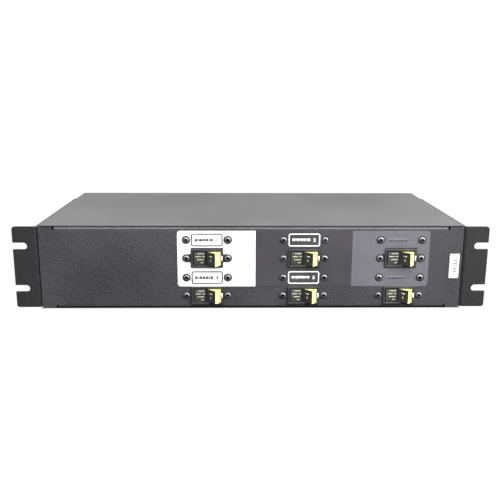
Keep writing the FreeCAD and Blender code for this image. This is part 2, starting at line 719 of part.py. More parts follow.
def outlet_slits():
    """Each pin slit's place about a socket's centre: two live ones and the earth."""
    return [(-size.live_across, size.live_level), (size.live_across, size.live_level),
            (nothing, size.earth_slit_level)]


def make_twin_outlet(number, across):
    """Flanged housing with two deep wells; each takes one socket insert."""
    flange = rounded_block(around(0, size.outlet_flange_half_x), (0, size.outlet_flange_thick),
                           around(0, size.outlet_flange_half_z), size.outlet_corner)
    core = block(around(0, size.outlet_body_half_x), (-size.outlet_depth, size.outlet_flange_thick / 2),
                 around(0, size.outlet_body_half_z))
    wells = [rounded_block(around(0, size.socket_half_x), (-size.outlet_depth * 2, size.outlet_depth),
                           around(size.outlet_pitch / 2 * sign, size.socket_half_z), size.socket_corner)
             for sign in (1, -1)]
    keep(f"twin_outlet_{number}", cut(fuse(flange, core), *wells), across, rear, size.outlet_level)


def make_outlet_inserts():
    """Each well's insert: a base that closes it and an island with three pin slits on top."""
    bottom = size.outlet_flange_thick - size.socket_depth
    gap = size.insert_gap
    base = rounded_block(around(0, size.socket_half_x - gap), (-size.outlet_depth, bottom),
                         around(0, size.socket_half_z - gap), size.socket_corner - gap)
    island = rounded_block(around(0, size.island_half_x),
                           (bottom - gap, size.outlet_flange_thick - size.island_drop),
                           around(0, size.island_half_z), size.island_corner)
    above, below = size.outlet_flange_thick * 2, -size.outlet_depth * 2
    slits = []
    for slit_x, slit_z in outlet_slits():
        slits.append(block(around(slit_x, size.slit_half_x), (below, above),
                           around(slit_z, size.slit_half_z)))
        slits.append(block(around(slit_x, size.slit_half_x), (below, -size.slit_mouth),
                           around(slit_z, size.chamber_half_z)))
    insert = cut(fuse(base, island), *slits)
    levels = [size.outlet_level + size.outlet_pitch / 2 * sign for sign in (1, -1)]
    group("outlet_inserts", insert,
          [moved(outlet_centre(column_index, row_index), rear, level)
           for number, column_index, row_index in circuits() for level in levels])


def make_outlet_contacts():
    """Behind each twin outlet three rails join its sockets, with two spring leaves for each pin."""
    near = -size.outlet_depth
    far = near - size.rail_thick
    rails = []
    for index, (slit_x, slit_z) in enumerate(outlet_slits()):
        earth = index == 2
        half = size.rail_earth_half if earth else size.rail_half
        span = (size.rail_earth_low, size.rail_earth_high) if earth else around(0, size.rail_reach)
        pieces = [block(around(slit_x, half), (far, near), span)]
        for sign in (1, -1):
            level = size.outlet_pitch / 2 * sign + slit_z
            for leaf in ((level + size.leaf_near, level + size.leaf_far),
                         (level - size.leaf_far, level - size.leaf_near)):
                pieces.append(block(around(slit_x, half),
                                    (near - size.rail_thick / 2, near + size.leaf_depth), leaf))
        if earth:
            pieces.append(block(around(slit_x, half), (near - size.earth_post_depth, near),
                                around(0, size.earth_post_half)))
        rails.append(fuse(*pieces))
    gathered = doc.addObject("Part::Compound", "RailSet")
    gathered.Links = rails
    group("outlet_contacts", gathered,
          [moved(outlet_centre(column_index, row_index), rear, size.outlet_level)
           for number, column_index, row_index in circuits()])


# ---------------------------------------------------------------- earth path

def make_earth_parts():
    """Bar across the outlets' earth posts, a wire to the stud, the stud and its two nuts."""
    bar_back = rear - size.outlet_depth - size.earth_post_depth
    bar_front = bar_back - size.earth_bar_thick
    level = size.outlet_level
    left = column(0) - size.outlet_offset - size.earth_bar_over * 4
    right = column(2) + size.outlet_offset + size.earth_bar_over
    keep("earth_bar", block((0, right - left), (0, size.earth_bar_thick), (0, size.earth_bar_half * 2)),
         left, bar_front, level - size.earth_bar_half)
    middle = bar_front + size.earth_bar_thick / 2
    route = [(left, middle, level), (size.stud_across, middle, level),
             (size.stud_across, rear - size.stud_inner, level)]
    keep_shape("earth_wire", [tube(route, size.earth_bar_half / 2)])
    root = rod("y", (0, -size.stud_inner, 0), size.stud_inner + size.stud_root, size.stud_root_radius)
    free = rod("y", (0, 0, 0), size.stud_outer, size.stud_radius)
    keep("earth_stud", fuse(root, free), size.stud_across, rear, level)
    thick = size.stud_nut_thick
    nut = cut(hexagon((0, 0, 0), thick, size.stud_nut_flats),
              rod("y", (0, -thick, 0), thick * 3, size.stud_root_radius))
    group("earth_nuts", nut, [moved(size.stud_across, rear, level),
                              moved(size.stud_across, rear - size.sheet - thick, level)])


# ---------------------------------------------------------------- cable gland

def make_gland():
    """Gland body through the rear panel, its locknut inside, its domed nut and rubber seal outside."""
    spot = (size.gland_across, rear, size.gland_level)
    inner = size.gland_inner
    body = fuse(rod("y", (0, -inner, 0), inner + size.gland_hex / 2, size.gland_thread),
                hexagon((0, 0, 0), size.gland_hex, size.gland_flats),
                rod("y", (0, 0, 0), size.gland_collar_end, size.gland_collar))
    keep("gland_body", cut(body, rod("y", (0, -inner * 2, 0), inner * 5, size.gland_bore)), *spot)

    lock = size.locknut_thick
    keep("gland_locknut", cut(hexagon((0, -size.sheet - lock, 0), lock, size.locknut_flats),
                              rod("y", (0, -inner, 0), inner * 2, size.gland_thread)), *spot)

    start, end = size.gland_nut_start, size.gland_nut_end
    dome = rod("y", (0, start, 0), end - start, size.gland_dome)
    doc.recompute()
    rim = [number for number, edge in enumerate(dome.Shape.Edges, 1)
           if len(edge.Vertexes) == 1 and abs(edge.CenterOfMass.y - end.number) < 0.001]
    smooth = doc.addObject("Part::Fillet", "Dome")
    smooth.Base = dome
    smooth.Edges = [(number, size.gland_dome_bend.number, size.gland_dome_bend.number) for number in rim]
    nut = fuse(smooth, hexagon((0, start, 0), size.gland_nut_hex, size.gland_flats))
    cavity = rod("y", (0, start - inner, 0), end - start - size.gland_wall + inner, size.gland_nut_bore)
    keep("gland_nut", cut(nut, cavity, rod("y", (0, 0, 0), end * 2, size.gland_bore)), *spot)

    length = size.seal_end - size.seal_start
    keep("gland_seal", cut(rod("y", (0, size.seal_start, 0), length, size.seal_outer),
                           rod("y", (0, 0, 0), end * 2, size.seal_inner)), *spot)


# ---------------------------------------------------------------- wiring

def tube(route, radius):
    """A round wire along straight runs joined by tangent arcs, each as large as its runs allow."""
    points = [FreeCAD.Vector(*(as_size(value).number for value in point)) for point in route]
    edges = []
    last = points[0]
    for before, corner, after in zip(points, points[1:], points[2:]):
        incoming = (corner - before).normalize()
        outgoing = (after - corner).normalize()
        trim = size.bend_share.number * min(before.distanceToPoint(corner), corner.distanceToPoint(after))
        start = corner - incoming * trim
        end = corner + outgoing * trim
        half_turn = incoming.getAngle(outgoing) / 2
        towards = (outgoing - incoming).normalize()
        middle = corner + towards * (trim * math.tan(half_turn / 2))
        edges += [Part.LineSegment(last, start).toShape(), Part.Arc(start, middle, end).toShape()]
        last = end
    edges.append(Part.LineSegment(last, points[-1]).toShape())
    spine = Part.Wire(edges)
    ring = Part.Wire([Part.makeCircle(as_size(radius).number, points[0], points[1] - points[0])])
    return spine.makePipeShell([ring], True, False)


def keep_shape(label, shapes):
    item = doc.addObject("Part::Feature", label)
    item.Shape = Part.makeCompound(shapes) if len(shapes) > 1 else shapes[0]
    item.Label = label
    subparts[label] = item
    return item


def link_across(pole_index):
    """Middle of a pole link across its line tab: the two poles' links stand side by side."""
    return -size.tab_outer + size.link_width / 2 + (size.link_width + size.link_gap) * (1 - pole_index)


def make_pole_links():
    """Copper links between the line tabs of the upper and lower breaker in each column."""
    back = bezel_front + tab_end + size.link_back
    half = size.link_width / 2
    height = size.circuit_pitch + size.tab_half + size.link_thick
    prong = (-size.link_back - size.link_overlap, size.link_thick)
    bar = fuse(block((-half, half), (0, size.link_thick), (size.tab_half, height)),
               block((-half, half), prong, (size.tab_half, size.tab_half + size.link_thick)),
               block((-half, half), prong, (height - size.link_thick, height)))
    places = [moved(column(column_index) + link_across(pole_index), back, pole(0, pole_index))
              for column_index in range(3) for pole_index in range(2)]
    group("pole_links", bar, places)


def phase_way(column_index, pole_index):
    """Which supply phase a pole takes: columns take phases 1-2, 2-3 and 3-1."""
    return (column_index + 1 - pole_index) % 3


def make_feed_wires():
    """Two wires to each column, from the supply block to the pole links, each in its own lane."""
    back = bezel_front + tab_end + size.link_back + size.link_thick
    shapes = []
    for column_index in range(3):
        for pole_index in range(2):
            x = column(column_index) + link_across(pole_index)
            level = size.feed_high if pole_index else size.feed_low
            lane = size.lane_first + size.lane_pitch * column_index + size.lane_shift * (1 - pole_index)
            way = size.way_first + size.way_pitch * phase_way(column_index, pole_index)
            shapes.append(tube([(x, back, level), (x, lane, level), (way, lane, level),
                                (way, lane, size.wire_in_block)], size.wire_radius))
    keep_shape("feed_wires", shapes)


def make_load_wires():
    """From each load tab back to a rail of the circuit's own twin outlet."""
    start = bezel_front + tab_end
    end = rear - size.outlet_depth - size.rail_thick
    shapes = []
    for number, column_index, row_index in circuits():
        for pole_index in range(2):
            level = pole(row_index, pole_index)
            x = column(column_index) + (size.tab_inner + size.tab_outer) / 2
            rail = outlet_centre(column_index, row_index) + size.live_across * (-1 if pole_index else 1)
            shapes.append(tube([(x, start, level), (x, size.load_turn_first, level),
                                (rail, size.load_turn_last, level), (rail, end, level)], size.wire_radius))
    keep_shape("load_wires", shapes)


def block_ways():
    """Top holes of the supply block, one for each feed wire."""
    for column_index in range(3):
        for pole_index in range(2):
            lane = size.lane_first + size.lane_pitch * column_index + size.lane_shift * (1 - pole_index)
            yield size.way_first + size.way_pitch * phase_way(column_index, pole_index), lane


def make_terminal_block():
    """Supply block on the floor: three phases, each with one way in and two ways out."""
    body = block((size.block_left, size.block_right), (size.block_front, size.block_back),
                 (size.sheet, size.block_top))
    tools = []
    way_low, clamp_low = size.block_top - size.way_depth, size.block_top - size.clamp_depth
    for x, lane in block_ways():
        tools.append(rod("z", (x, lane, way_low), size.way_depth * 2, size.way_radius))
        tools.append(rod("z", (x - size.clamp_across, lane, clamp_low), size.clamp_depth * 2,
                         size.clamp_radius + size.fit_gap))
    for phase in range(3):
        tools.append(rod("y", (size.way_first + size.way_pitch * phase, size.block_back - size.supply_depth,
                               size.supply_level), size.supply_depth * 2, size.supply_radius))
    keep("terminal_block", cut(body, *tools))
    screw = cut(rod("z", (0, 0, 0), size.clamp_length, size.clamp_radius),
                block(around(0, size.clamp_radius * 2), around(0, size.cross_width / 2),
                      (size.clamp_length - size.cross_depth, size.clamp_length * 2)))
    group("terminal_block_screws", screw,
          [moved(x - size.clamp_across, lane, clamp_low) for x, lane in block_ways()])


# ---------------------------------------------------------------- fasteners

def pan_screw():
    """Cross-head screw along +Y: its head stands in front of y = 0 and its shank behind."""
    thick = size.screw_head_thick
    head = rod("y", (0, -thick, 0), thick, size.screw_head)
    doc.recompute()
    rim = [number for number, edge in enumerate(head.Shape.Edges, 1)
           if len(edge.Vertexes) == 1 and abs(edge.CenterOfMass.y + thick.number) < 0.001]
    smooth = doc.addObject("Part::Fillet", "PanHead")
    smooth.Base = head
    smooth.Edges = [(number, size.screw_dome.number, size.screw_dome.number) for number in rim]
    shank = rod("y", (0, -thick / 2, 0), thick / 2 + size.screw_length, size.screw_shank)
    arm = size.cross_length / 2
    half = size.cross_width / 2
    depth = (-thick * 2, size.cross_depth - thick)
    return cut(fuse(smooth, shank), block((-arm, arm), depth, (-half, half)),
               block((-half, half), depth, (-arm, arm)))


def make_screws():
    """Breaker screws in front; case screws hold the cover's rear and sides and the brackets."""
    screw = pan_screw()
    group("breaker_screws", screw,
          [moved(x + half_screws * sign, front, z) for x, z in every_pole() for sign in (-1, 1)])
    about_z = FreeCAD.Vector(0, 0, 1)
    to_rear = FreeCAD.Rotation(about_z, 180)
    outwards = {1: FreeCAD.Rotation(about_z, 90), -1: FreeCAD.Rotation(about_z, -90)}
    places = [moved(x, rear + size.sheet, size.cover_screw_level, to_rear) for x in cover_screw_places()]
    for sign, turn in outwards.items():
        places.append(moved(side * sign, size.cover_side_screw_back, size.cover_side_screw_level, turn))
        places += [moved((side + size.ear_sheet) * sign, back, level, turn)
                   for back in (size.ear_screw_front, size.ear_screw_back)
                   for level in (size.ear_screw_low, size.ear_screw_high)]
    group("case_screws", screw, places)


# ---------------------------------------------------------------- the whole part

make_base_pan()
make_front_panel()
make_rear_panel()
make_top_cover()
make_rack_ear("left_rack_ear", -1)
make_rack_ear("right_rack_ear", 1)
make_circuit_overlay()
make_asset_label()
for number, column_index, row_index in circuits():
    across, level = column(column_index), pole(row_index, 0)
    make_breaker_case(number, across, level)
    make_breaker_bezel(number, across, level)
    make_rocker(number, across, level)
    make_contact_arm(number, across, level)
    make_twin_outlet(number, outlet_centre(column_index, row_index))
make_breaker_internals()
make_outlet_inserts()
make_outlet_contacts()
make_earth_parts()
make_gland()
make_pole_links()
make_feed_wires()
make_load_wires()
make_terminal_block()
make_screws()
doc.recompute()

for item in doc.Objects:
    if "Invalid" in item.State or "Error" in item.State:
        raise SystemExit(f"{item.Name} ({item.Label}) failed: {item.State}")
for label, item in subparts.items():
    if item.Shape.isNull() or not item.Shape.isValid() or not item.Shape.Solids:
        raise SystemExit(f"{label} has no valid solid")

os.makedirs("parts", exist_ok=True)
for label, item in subparts.items():
    item.Shape.exportStep(f"parts/{label}.step")
    print(f"{label}: {len(item.Shape.Solids)} solids, {item.Shape.Volume:.0f} mm3")
print(f"{len(subparts)} sub-parts")
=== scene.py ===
import json
import bpy
import bmesh
import numpy as np
from mathutils import Euler, Matrix, Vector
from math import radians

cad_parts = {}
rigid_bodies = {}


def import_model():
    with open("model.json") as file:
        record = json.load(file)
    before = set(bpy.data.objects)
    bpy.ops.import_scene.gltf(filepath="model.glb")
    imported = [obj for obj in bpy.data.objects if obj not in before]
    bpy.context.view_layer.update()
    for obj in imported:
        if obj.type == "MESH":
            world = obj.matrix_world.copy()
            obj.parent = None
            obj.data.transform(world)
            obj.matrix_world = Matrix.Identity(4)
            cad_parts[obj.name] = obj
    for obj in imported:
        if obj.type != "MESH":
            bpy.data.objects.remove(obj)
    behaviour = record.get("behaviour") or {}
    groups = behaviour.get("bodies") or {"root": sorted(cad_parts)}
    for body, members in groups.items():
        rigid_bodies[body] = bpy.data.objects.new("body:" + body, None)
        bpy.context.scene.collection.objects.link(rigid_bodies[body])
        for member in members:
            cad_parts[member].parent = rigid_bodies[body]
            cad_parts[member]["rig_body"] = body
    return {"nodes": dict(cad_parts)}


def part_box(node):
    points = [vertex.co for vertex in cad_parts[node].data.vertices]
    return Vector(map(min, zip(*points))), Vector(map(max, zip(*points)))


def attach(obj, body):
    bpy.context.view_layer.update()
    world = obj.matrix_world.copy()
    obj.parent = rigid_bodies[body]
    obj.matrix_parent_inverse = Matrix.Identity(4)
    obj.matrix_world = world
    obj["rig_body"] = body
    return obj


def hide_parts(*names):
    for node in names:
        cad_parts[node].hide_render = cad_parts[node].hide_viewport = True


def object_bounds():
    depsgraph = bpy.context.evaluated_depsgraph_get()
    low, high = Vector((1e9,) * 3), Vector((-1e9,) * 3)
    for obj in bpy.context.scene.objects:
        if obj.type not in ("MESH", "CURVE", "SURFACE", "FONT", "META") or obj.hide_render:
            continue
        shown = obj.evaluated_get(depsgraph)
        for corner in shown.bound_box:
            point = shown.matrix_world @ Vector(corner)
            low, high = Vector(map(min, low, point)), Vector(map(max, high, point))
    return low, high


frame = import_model()
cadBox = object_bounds()
mm = 0.001
circuits = range(1, 7)
print("frame loaded:", len(frame["nodes"]), "nodes")


# mesh tools: grids and sets of rings worked out with numpy, and rounded copies of CAD nodes

# metres for weld, degrees for the rest
meshTools = {"weld": 1e-6, "flatAngle": 0.6, "bevelAngle": 28, "copyAngle": 32, "bezelAngle": 35,
             "rockerAngle": 30, "screwAngle": 50}


def addObject(name, data):  # an object of the data, linked to the scene
    obj = bpy.data.objects.new(name, data)
    bpy.context.scene.collection.objects.link(obj)
    return obj


def meshPiece(name, verts, faces, material, body="chassis", smooth=True):
    # a piece from verts in metres and lists of their places, riding on its body
    mesh = bpy.data.meshes.new(name)
    mesh.from_pydata(np.asarray(verts, float).reshape(-1, 3).tolist(), [], faces)
    for one in material if isinstance(material, list) else [material]:
        mesh.materials.append(one)
    mesh.polygons.foreach_set("use_smooth", [smooth] * len(mesh.polygons))
    obj = addObject(name, mesh)
    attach(obj, body)
    return obj


def ringFaces(rings, steps, closed=False, start=0):
    # quads of a grid: ring i and i+1, step j and j+1, where steps wrap round and rings do if closed
    i = np.arange(rings if closed else rings - 1)[:, None]
    j = np.arange(steps)[None, :]
    up, on = (i + 1) % rings, (j + 1) % steps
    quads = np.stack([i * steps + j, i * steps + on, up * steps + on, up * steps + j], -1)
    return (quads.reshape(-1, 4) + start).tolist()


def cappedFaces(rings, steps):
    # the quads between open rings, with the first and the last ring filled
    last = (rings - 1) * steps
    return ringFaces(rings, steps) + [list(range(steps))[::-1], list(range(last, last + steps))]


def roundedLoop(halfX, halfZ, radius, cornerSteps=6):
    # rounded rectangle: each corner's centre plus a quarter circle, anticlockwise in x and z
    t = np.linspace(0, np.pi / 2, cornerSteps)
    parts = []
    for quarter, (sx, sz) in enumerate([(1, 1), (-1, 1), (-1, -1), (1, -1)]):
        angle = t + quarter * np.pi / 2
        parts.append(np.stack([sx * (halfX - radius) + radius * np.cos(angle),
                               sz * (halfZ - radius) + radius * np.sin(angle)], -1))
    return np.concatenate(parts)


def insetLoop(points, amount):
    # each corner moved inwards along its mitre: the two edge normals added, over 1 + their dot product
    before = points - np.roll(points, 1, 0)
    after = np.roll(points, -1, 0) - points
    n1 = np.stack([-before[:, 1], before[:, 0]], -1) / np.linalg.norm(before, axis=1)[:, None]
    n2 = np.stack([-after[:, 1], after[:, 0]], -1) / np.linalg.norm(after, axis=1)[:, None]
    return points + amount * (n1 + n2) / (1 + (n1 * n2).sum(1))[:, None]


def standLoop(loop, depth, centre):
    # a loop of (x, z) in mm stood up at a depth in mm behind its centre
    x, y, z = centre
    return np.stack([x + loop[:, 0] * mm, np.full(len(loop), y + depth * mm), z + loop[:, 1] * mm], -1)


def facePlate(name, loops, depths, centre, material, body="chassis"):
    # stood loops joined ring to ring, the first and the last ring filled
    rings = [standLoop(loop, depth, centre) for loop, depth in zip(loops, depths)]
    return meshPiece(name, np.concatenate(rings), cappedFaces(len(rings), len(loops[0])), material, body)


def smoothByAngle(obj, degrees):
    # shades smooth, with sharp edges where faces meet at more than the angle
    for o in bpy.context.selected_objects:
        o.select_set(False)
    obj.select_set(True)
    bpy.context.view_layer.objects.active = obj
    bpy.ops.object.shade_smooth_by_angle(angle=radians(degrees))
    obj.select_set(False)


def roundedCopy(name, node, material, width, segments=3):
    # a CAD node's mesh copied, merged to whole faces and given softly rounded edges
    source = frame["nodes"][node]
    mesh = source.data.copy()
    mesh.name = name
    work = bmesh.new()
    work.from_mesh(mesh)
    bmesh.ops.remove_doubles(work, verts=work.verts, dist=meshTools["weld"])
    bmesh.ops.dissolve_limit(work, angle_limit=radians(meshTools["flatAngle"]), verts=work.verts,
                              edges=work.edges)
    bmesh.ops.recalc_face_normals(work, faces=work.faces)
    work.to_mesh(mesh)
    work.free()
    mesh.materials.clear()
    mesh.materials.append(material)
    obj = addObject(name, mesh)
    bevel = obj.modifiers.new("edges", "BEVEL")
    bevel.width = width
    bevel.segments = segments
    bevel.limit_method = "ANGLE"
    bevel.angle_limit = radians(meshTools["bevelAngle"])
    bevel.harden_normals = True
    smoothByAngle(obj, meshTools["copyAngle"])
    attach(obj, source["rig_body"])
    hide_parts(node)
    return obj


# shader tools

def newGroup(name, inputs, outputs):
    # a node group with its sockets: each input has a default value, or None to leave it
    group = bpy.data.node_groups.new(name, "ShaderNodeTree")
    for label, kind, value in inputs:
        socket = group.interface.new_socket(name=label, in_out="INPUT", socket_type=kind)
        if value is not None:
            socket.default_value = value
    for label, kind in outputs:
        group.interface.new_socket(name=label, in_out="OUTPUT", socket_type=kind)
    nodes = group.nodes
    return group, nodes, group.links, nodes.new("NodeGroupInput"), nodes.new("NodeGroupOutput")


def addNode(nodes, kind, links=None, **values):
    # a node with its sockets set by name, or by place as i0, i1: a value is set, an output socket linked
    node = nodes.new(kind)
    for key, value in values.items():
        if key in ("operation", "data_type"):
            setattr(node, key, value)
            continue
        socket = node.inputs[int(key[1:]) if key[1:].isdigit() else key]
        if isinstance(value, bpy.types.NodeSocket):
            links.new(value, socket)
        else:
            socket.default_value = value
    return node


def sumNode(nodes, links, operation, *terms):
    # a Math node on two or three terms, each a number or an output socket
    terms = {f"i{place}": term for place, term in enumerate(terms)}
    return addNode(nodes, "ShaderNodeMath", links, operation=operation, **terms).outputs[0]


def ramp(nodes, links, source, low, high, lowValue=0.0, highValue=1.0):
    # lowValue at low to highValue at high, straight between and held beyond
    node = nodes.new("ShaderNodeMapRange")
    links.new(source, node.inputs["Value"])
    for label, value in (("From Min", low), ("From Max", high), ("To Min", lowValue), ("To Max", highValue)):
        node.inputs[label].default_value = value
    return node.outputs["Result"]


powderLook = {"swellScale": 260.0, "swellShare": 0.6, "driftScale": 9.0, "driftSpread": 0.3,
              "driftFrom": 0.35, "relief": 0.00012}
smudgeLook = {"maskFrom": 0.42, "maskTo": 0.7}
mouldingLook = {"fade": 1.12, "fadeLift": 0.002, "relief": 0.00006}
platedLook = {"patchGloss": 0.15, "brushFrom": 0.3, "brushTo": 0.7, "dull": 0.86, "bright": 1.08,
              "bump": 0.12, "relief": 0.00005}


def makePowderGroup():
    # baked powder: fine pimples and a slow orange-peel swell, with slightly uneven tone and gloss
    group, nodes, links, given, result = newGroup("bakedPowder", [
        ("Vector", "NodeSocketVector", None), ("Pimple Scale", "NodeSocketFloat", 1400.0),
        ("Tone Spread", "NodeSocketFloat", 0.25), ("Gloss Spread", "NodeSocketFloat", 0.1),
        ("Base Gloss", "NodeSocketFloat", 0.5)],
        [("Height", "NodeSocketFloat"), ("Tone", "NodeSocketFloat"), ("Roughness", "NodeSocketFloat")])
    place = given.outputs["Vector"]
    pimple = addNode(nodes, "ShaderNodeTexNoise", links, Vector=place, Scale=given.outputs["Pimple Scale"],
                     Detail=2.0, Roughness=0.55)
    swell = addNode(nodes, "ShaderNodeTexNoise", links, Vector=place, Scale=powderLook["swellScale"],
                    Detail=1.0)
    slow = addNode(nodes, "ShaderNodeTexNoise", links, Vector=place, Scale=powderLook["driftScale"],
                   Detail=3.0)
    soft = sumNode(nodes, links, "MULTIPLY", swell.outputs["Fac"], powderLook["swellShare"])
    links.new(sumNode(nodes, links, "ADD", pimple.outputs["Fac"], soft), result.inputs["Height"])
    drift = sumNode(nodes, links, "MULTIPLY_ADD", slow.outputs["Fac"], powderLook["driftSpread"],
                    powderLook["driftFrom"])
    speck = sumNode(nodes, links, "ADD", pimple.outputs["Fac"], drift)
    centred = sumNode(nodes, links, "SUBTRACT", speck, 1.0)
    links.new(sumNode(nodes, links, "MULTIPLY_ADD", centred, given.outputs["Tone Spread"], 1.0),
              result.inputs["Tone"])
    links.new(sumNode(nodes, links, "MULTIPLY_ADD", centred, given.outputs["Gloss Spread"],
                      given.outputs["Base Gloss"]), result.inputs["Roughness"])
    return group


def makeSmudgeGroup():
    # handling marks: soft patches that only change gloss and tone a little
    group, nodes, links, given, result = newGroup("handlingMarks", [
        ("Vector", "NodeSocketVector", None), ("Patch Scale", "NodeSocketFloat", 35.0),
        ("Base Gloss", "NodeSocketFloat", 0.3), ("Patch Gloss", "NodeSocketFloat", 0.12)],
        [("Roughness", "NodeSocketFloat"), ("Mask", "NodeSocketFloat")])
    patch = addNode(nodes, "ShaderNodeTexNoise", links, Vector=given.outputs["Vector"],
                    Scale=given.outputs["Patch Scale"], Detail=4.0, Roughness=0.6)
    mask = ramp(nodes, links, patch.outputs["Fac"], smudgeLook["maskFrom"], smudgeLook["maskTo"])
    gloss = sumNode(nodes, links, "MULTIPLY_ADD", mask, given.outputs["Patch Gloss"],
                    given.outputs["Base Gloss"])
    links.new(gloss, result.inputs["Roughness"])
    links.new(mask, result.inputs["Mask"])
    return group


powderGroup = makePowderGroup()
smudgeGroup = makeSmudgeGroup()


def startMaterial(name):
    # an empty material with a Principled shader, and the object's own place in metres
    material = bpy.data.materials.new(name)
    material.use_nodes = True
    nodes, links = material.node_tree.nodes, material.node_tree.links
    nodes.clear()
    output = nodes.new("ShaderNodeOutputMaterial")
    shader = nodes.new("ShaderNodeBsdfPrincipled")
    links.new(shader.outputs["BSDF"], output.inputs["Surface"])
    place = nodes.new("ShaderNodeTexCoord").outputs["Object"]
    return material, nodes, links, shader, place


def powderCoat(name, colour, roughness, bump, pimpleScale=1400.0, toneSpread=0.25, specular=0.5):
    # colour times the powder's tone, with the powder's gloss and its height as a bump
    material, nodes, links, shader, place = startMaterial(name)
    powder = nodes.new("ShaderNodeGroup")
    powder.node_tree = powderGroup
    links.new(place, powder.inputs["Vector"])
    powder.inputs["Pimple Scale"].default_value = pimpleScale
    powder.inputs["Tone Spread"].default_value = toneSpread
    powder.inputs["Base Gloss"].default_value = roughness
    tint = addNode(nodes, "ShaderNodeVectorMath", links, operation="SCALE", i0=colour,
                   Scale=powder.outputs["Tone"])
    links.new(tint.outputs[0], shader.inputs["Base Color"])
    links.new(powder.outputs["Roughness"], shader.inputs["Roughness"])
    shader.inputs["Specular IOR Level"].default_value = specular
    relief = nodes.new("ShaderNodeBump")
    relief.inputs["Strength"].default_value = bump
    relief.inputs["Distance"].default_value = powderLook["relief"]
    links.new(powder.outputs["Height"], relief.inputs["Height"])
    links.new(relief.outputs["Normal"], shader.inputs["Normal"])
    return material


def moulding(name, colour, roughness, patchGloss=0.12, sparkScale=900.0, bump=0.08, specular=0.5, coat=0.0):
    # colour mixed to a slightly faded one by the handling marks' mask, with fine noise as a bump
    material, nodes, links, shader, place = startMaterial(name)
    marks = nodes.new("ShaderNodeGroup")
    marks.node_tree = smudgeGroup
    links.new(place, marks.inputs["Vector"])
    marks.inputs["Base Gloss"].default_value = roughness
    marks.inputs["Patch Gloss"].default_value = patchGloss
    links.new(marks.outputs["Roughness"], shader.inputs["Roughness"])
    look = mouldingLook
    faded = tuple(min(1.0, c * look["fade"] + look["fadeLift"]) for c in colour[:3]) + (1.0,)
    tint = addNode(nodes, "ShaderNodeMix", links, data_type="RGBA")
    tint.inputs[6].default_value = colour
    tint.inputs[7].default_value = faded
    links.new(marks.outputs["Mask"], tint.inputs[0])
    links.new(tint.outputs[2], shader.inputs["Base Color"])
    shader.inputs["Specular IOR Level"].default_value = specular
    shader.inputs["Coat Weight"].default_value = coat
    grain = addNode(nodes, "ShaderNodeTexNoise", links, Vector=place, Scale=sparkScale, Detail=2.0)
    relief = nodes.new("ShaderNodeBump")
    relief.inputs["Strength"].default_value = bump
    relief.inputs["Distance"].default_value = look["relief"]
    links.new(grain.outputs["Fac"], relief.inputs["Height"])
    links.new(relief.outputs["Normal"], shader.inputs["Normal"])
    return material


def platedMetal(name, colour, roughness, brushScale=(900.0, 900.0, 900.0)):
    # metal whose colour goes from dull to bright with stretched noise, which is its bump too
    look = platedLook
    material, nodes, links, shader, place = startMaterial(name)
    stretch = nodes.new("ShaderNodeMapping")
    stretch.inputs["Scale"].default_value = brushScale
    links.new(place, stretch.inputs["Vector"])
    brush = addNode(nodes, "ShaderNodeTexNoise", links, Vector=stretch.outputs["Vector"], Scale=1.0,
                    Detail=3.0)
    marks = nodes.new("ShaderNodeGroup")
    marks.node_tree = smudgeGroup
    links.new(place, marks.inputs["Vector"])
    marks.inputs["Base Gloss"].default_value = roughness
    marks.inputs["Patch Gloss"].default_value = look["patchGloss"]
    links.new(marks.outputs["Roughness"], shader.inputs["Roughness"])
    tone = ramp(nodes, links, brush.outputs["Fac"], look["brushFrom"], look["brushTo"], look["dull"],
                look["bright"])
    tint = addNode(nodes, "ShaderNodeVectorMath", links, operation="SCALE", i0=colour[:3], Scale=tone)
    links.new(tint.outputs[0], shader.inputs["Base Color"])
    shader.inputs["Metallic"].default_value = 1.0
    relief = nodes.new("ShaderNodeBump")
    relief.inputs["Strength"].default_value = look["bump"]
    relief.inputs["Distance"].default_value = look["relief"]
    links.new(brush.outputs["Fac"], relief.inputs["Height"])
    links.new(relief.outputs["Normal"], shader.inputs["Normal"])
    return material


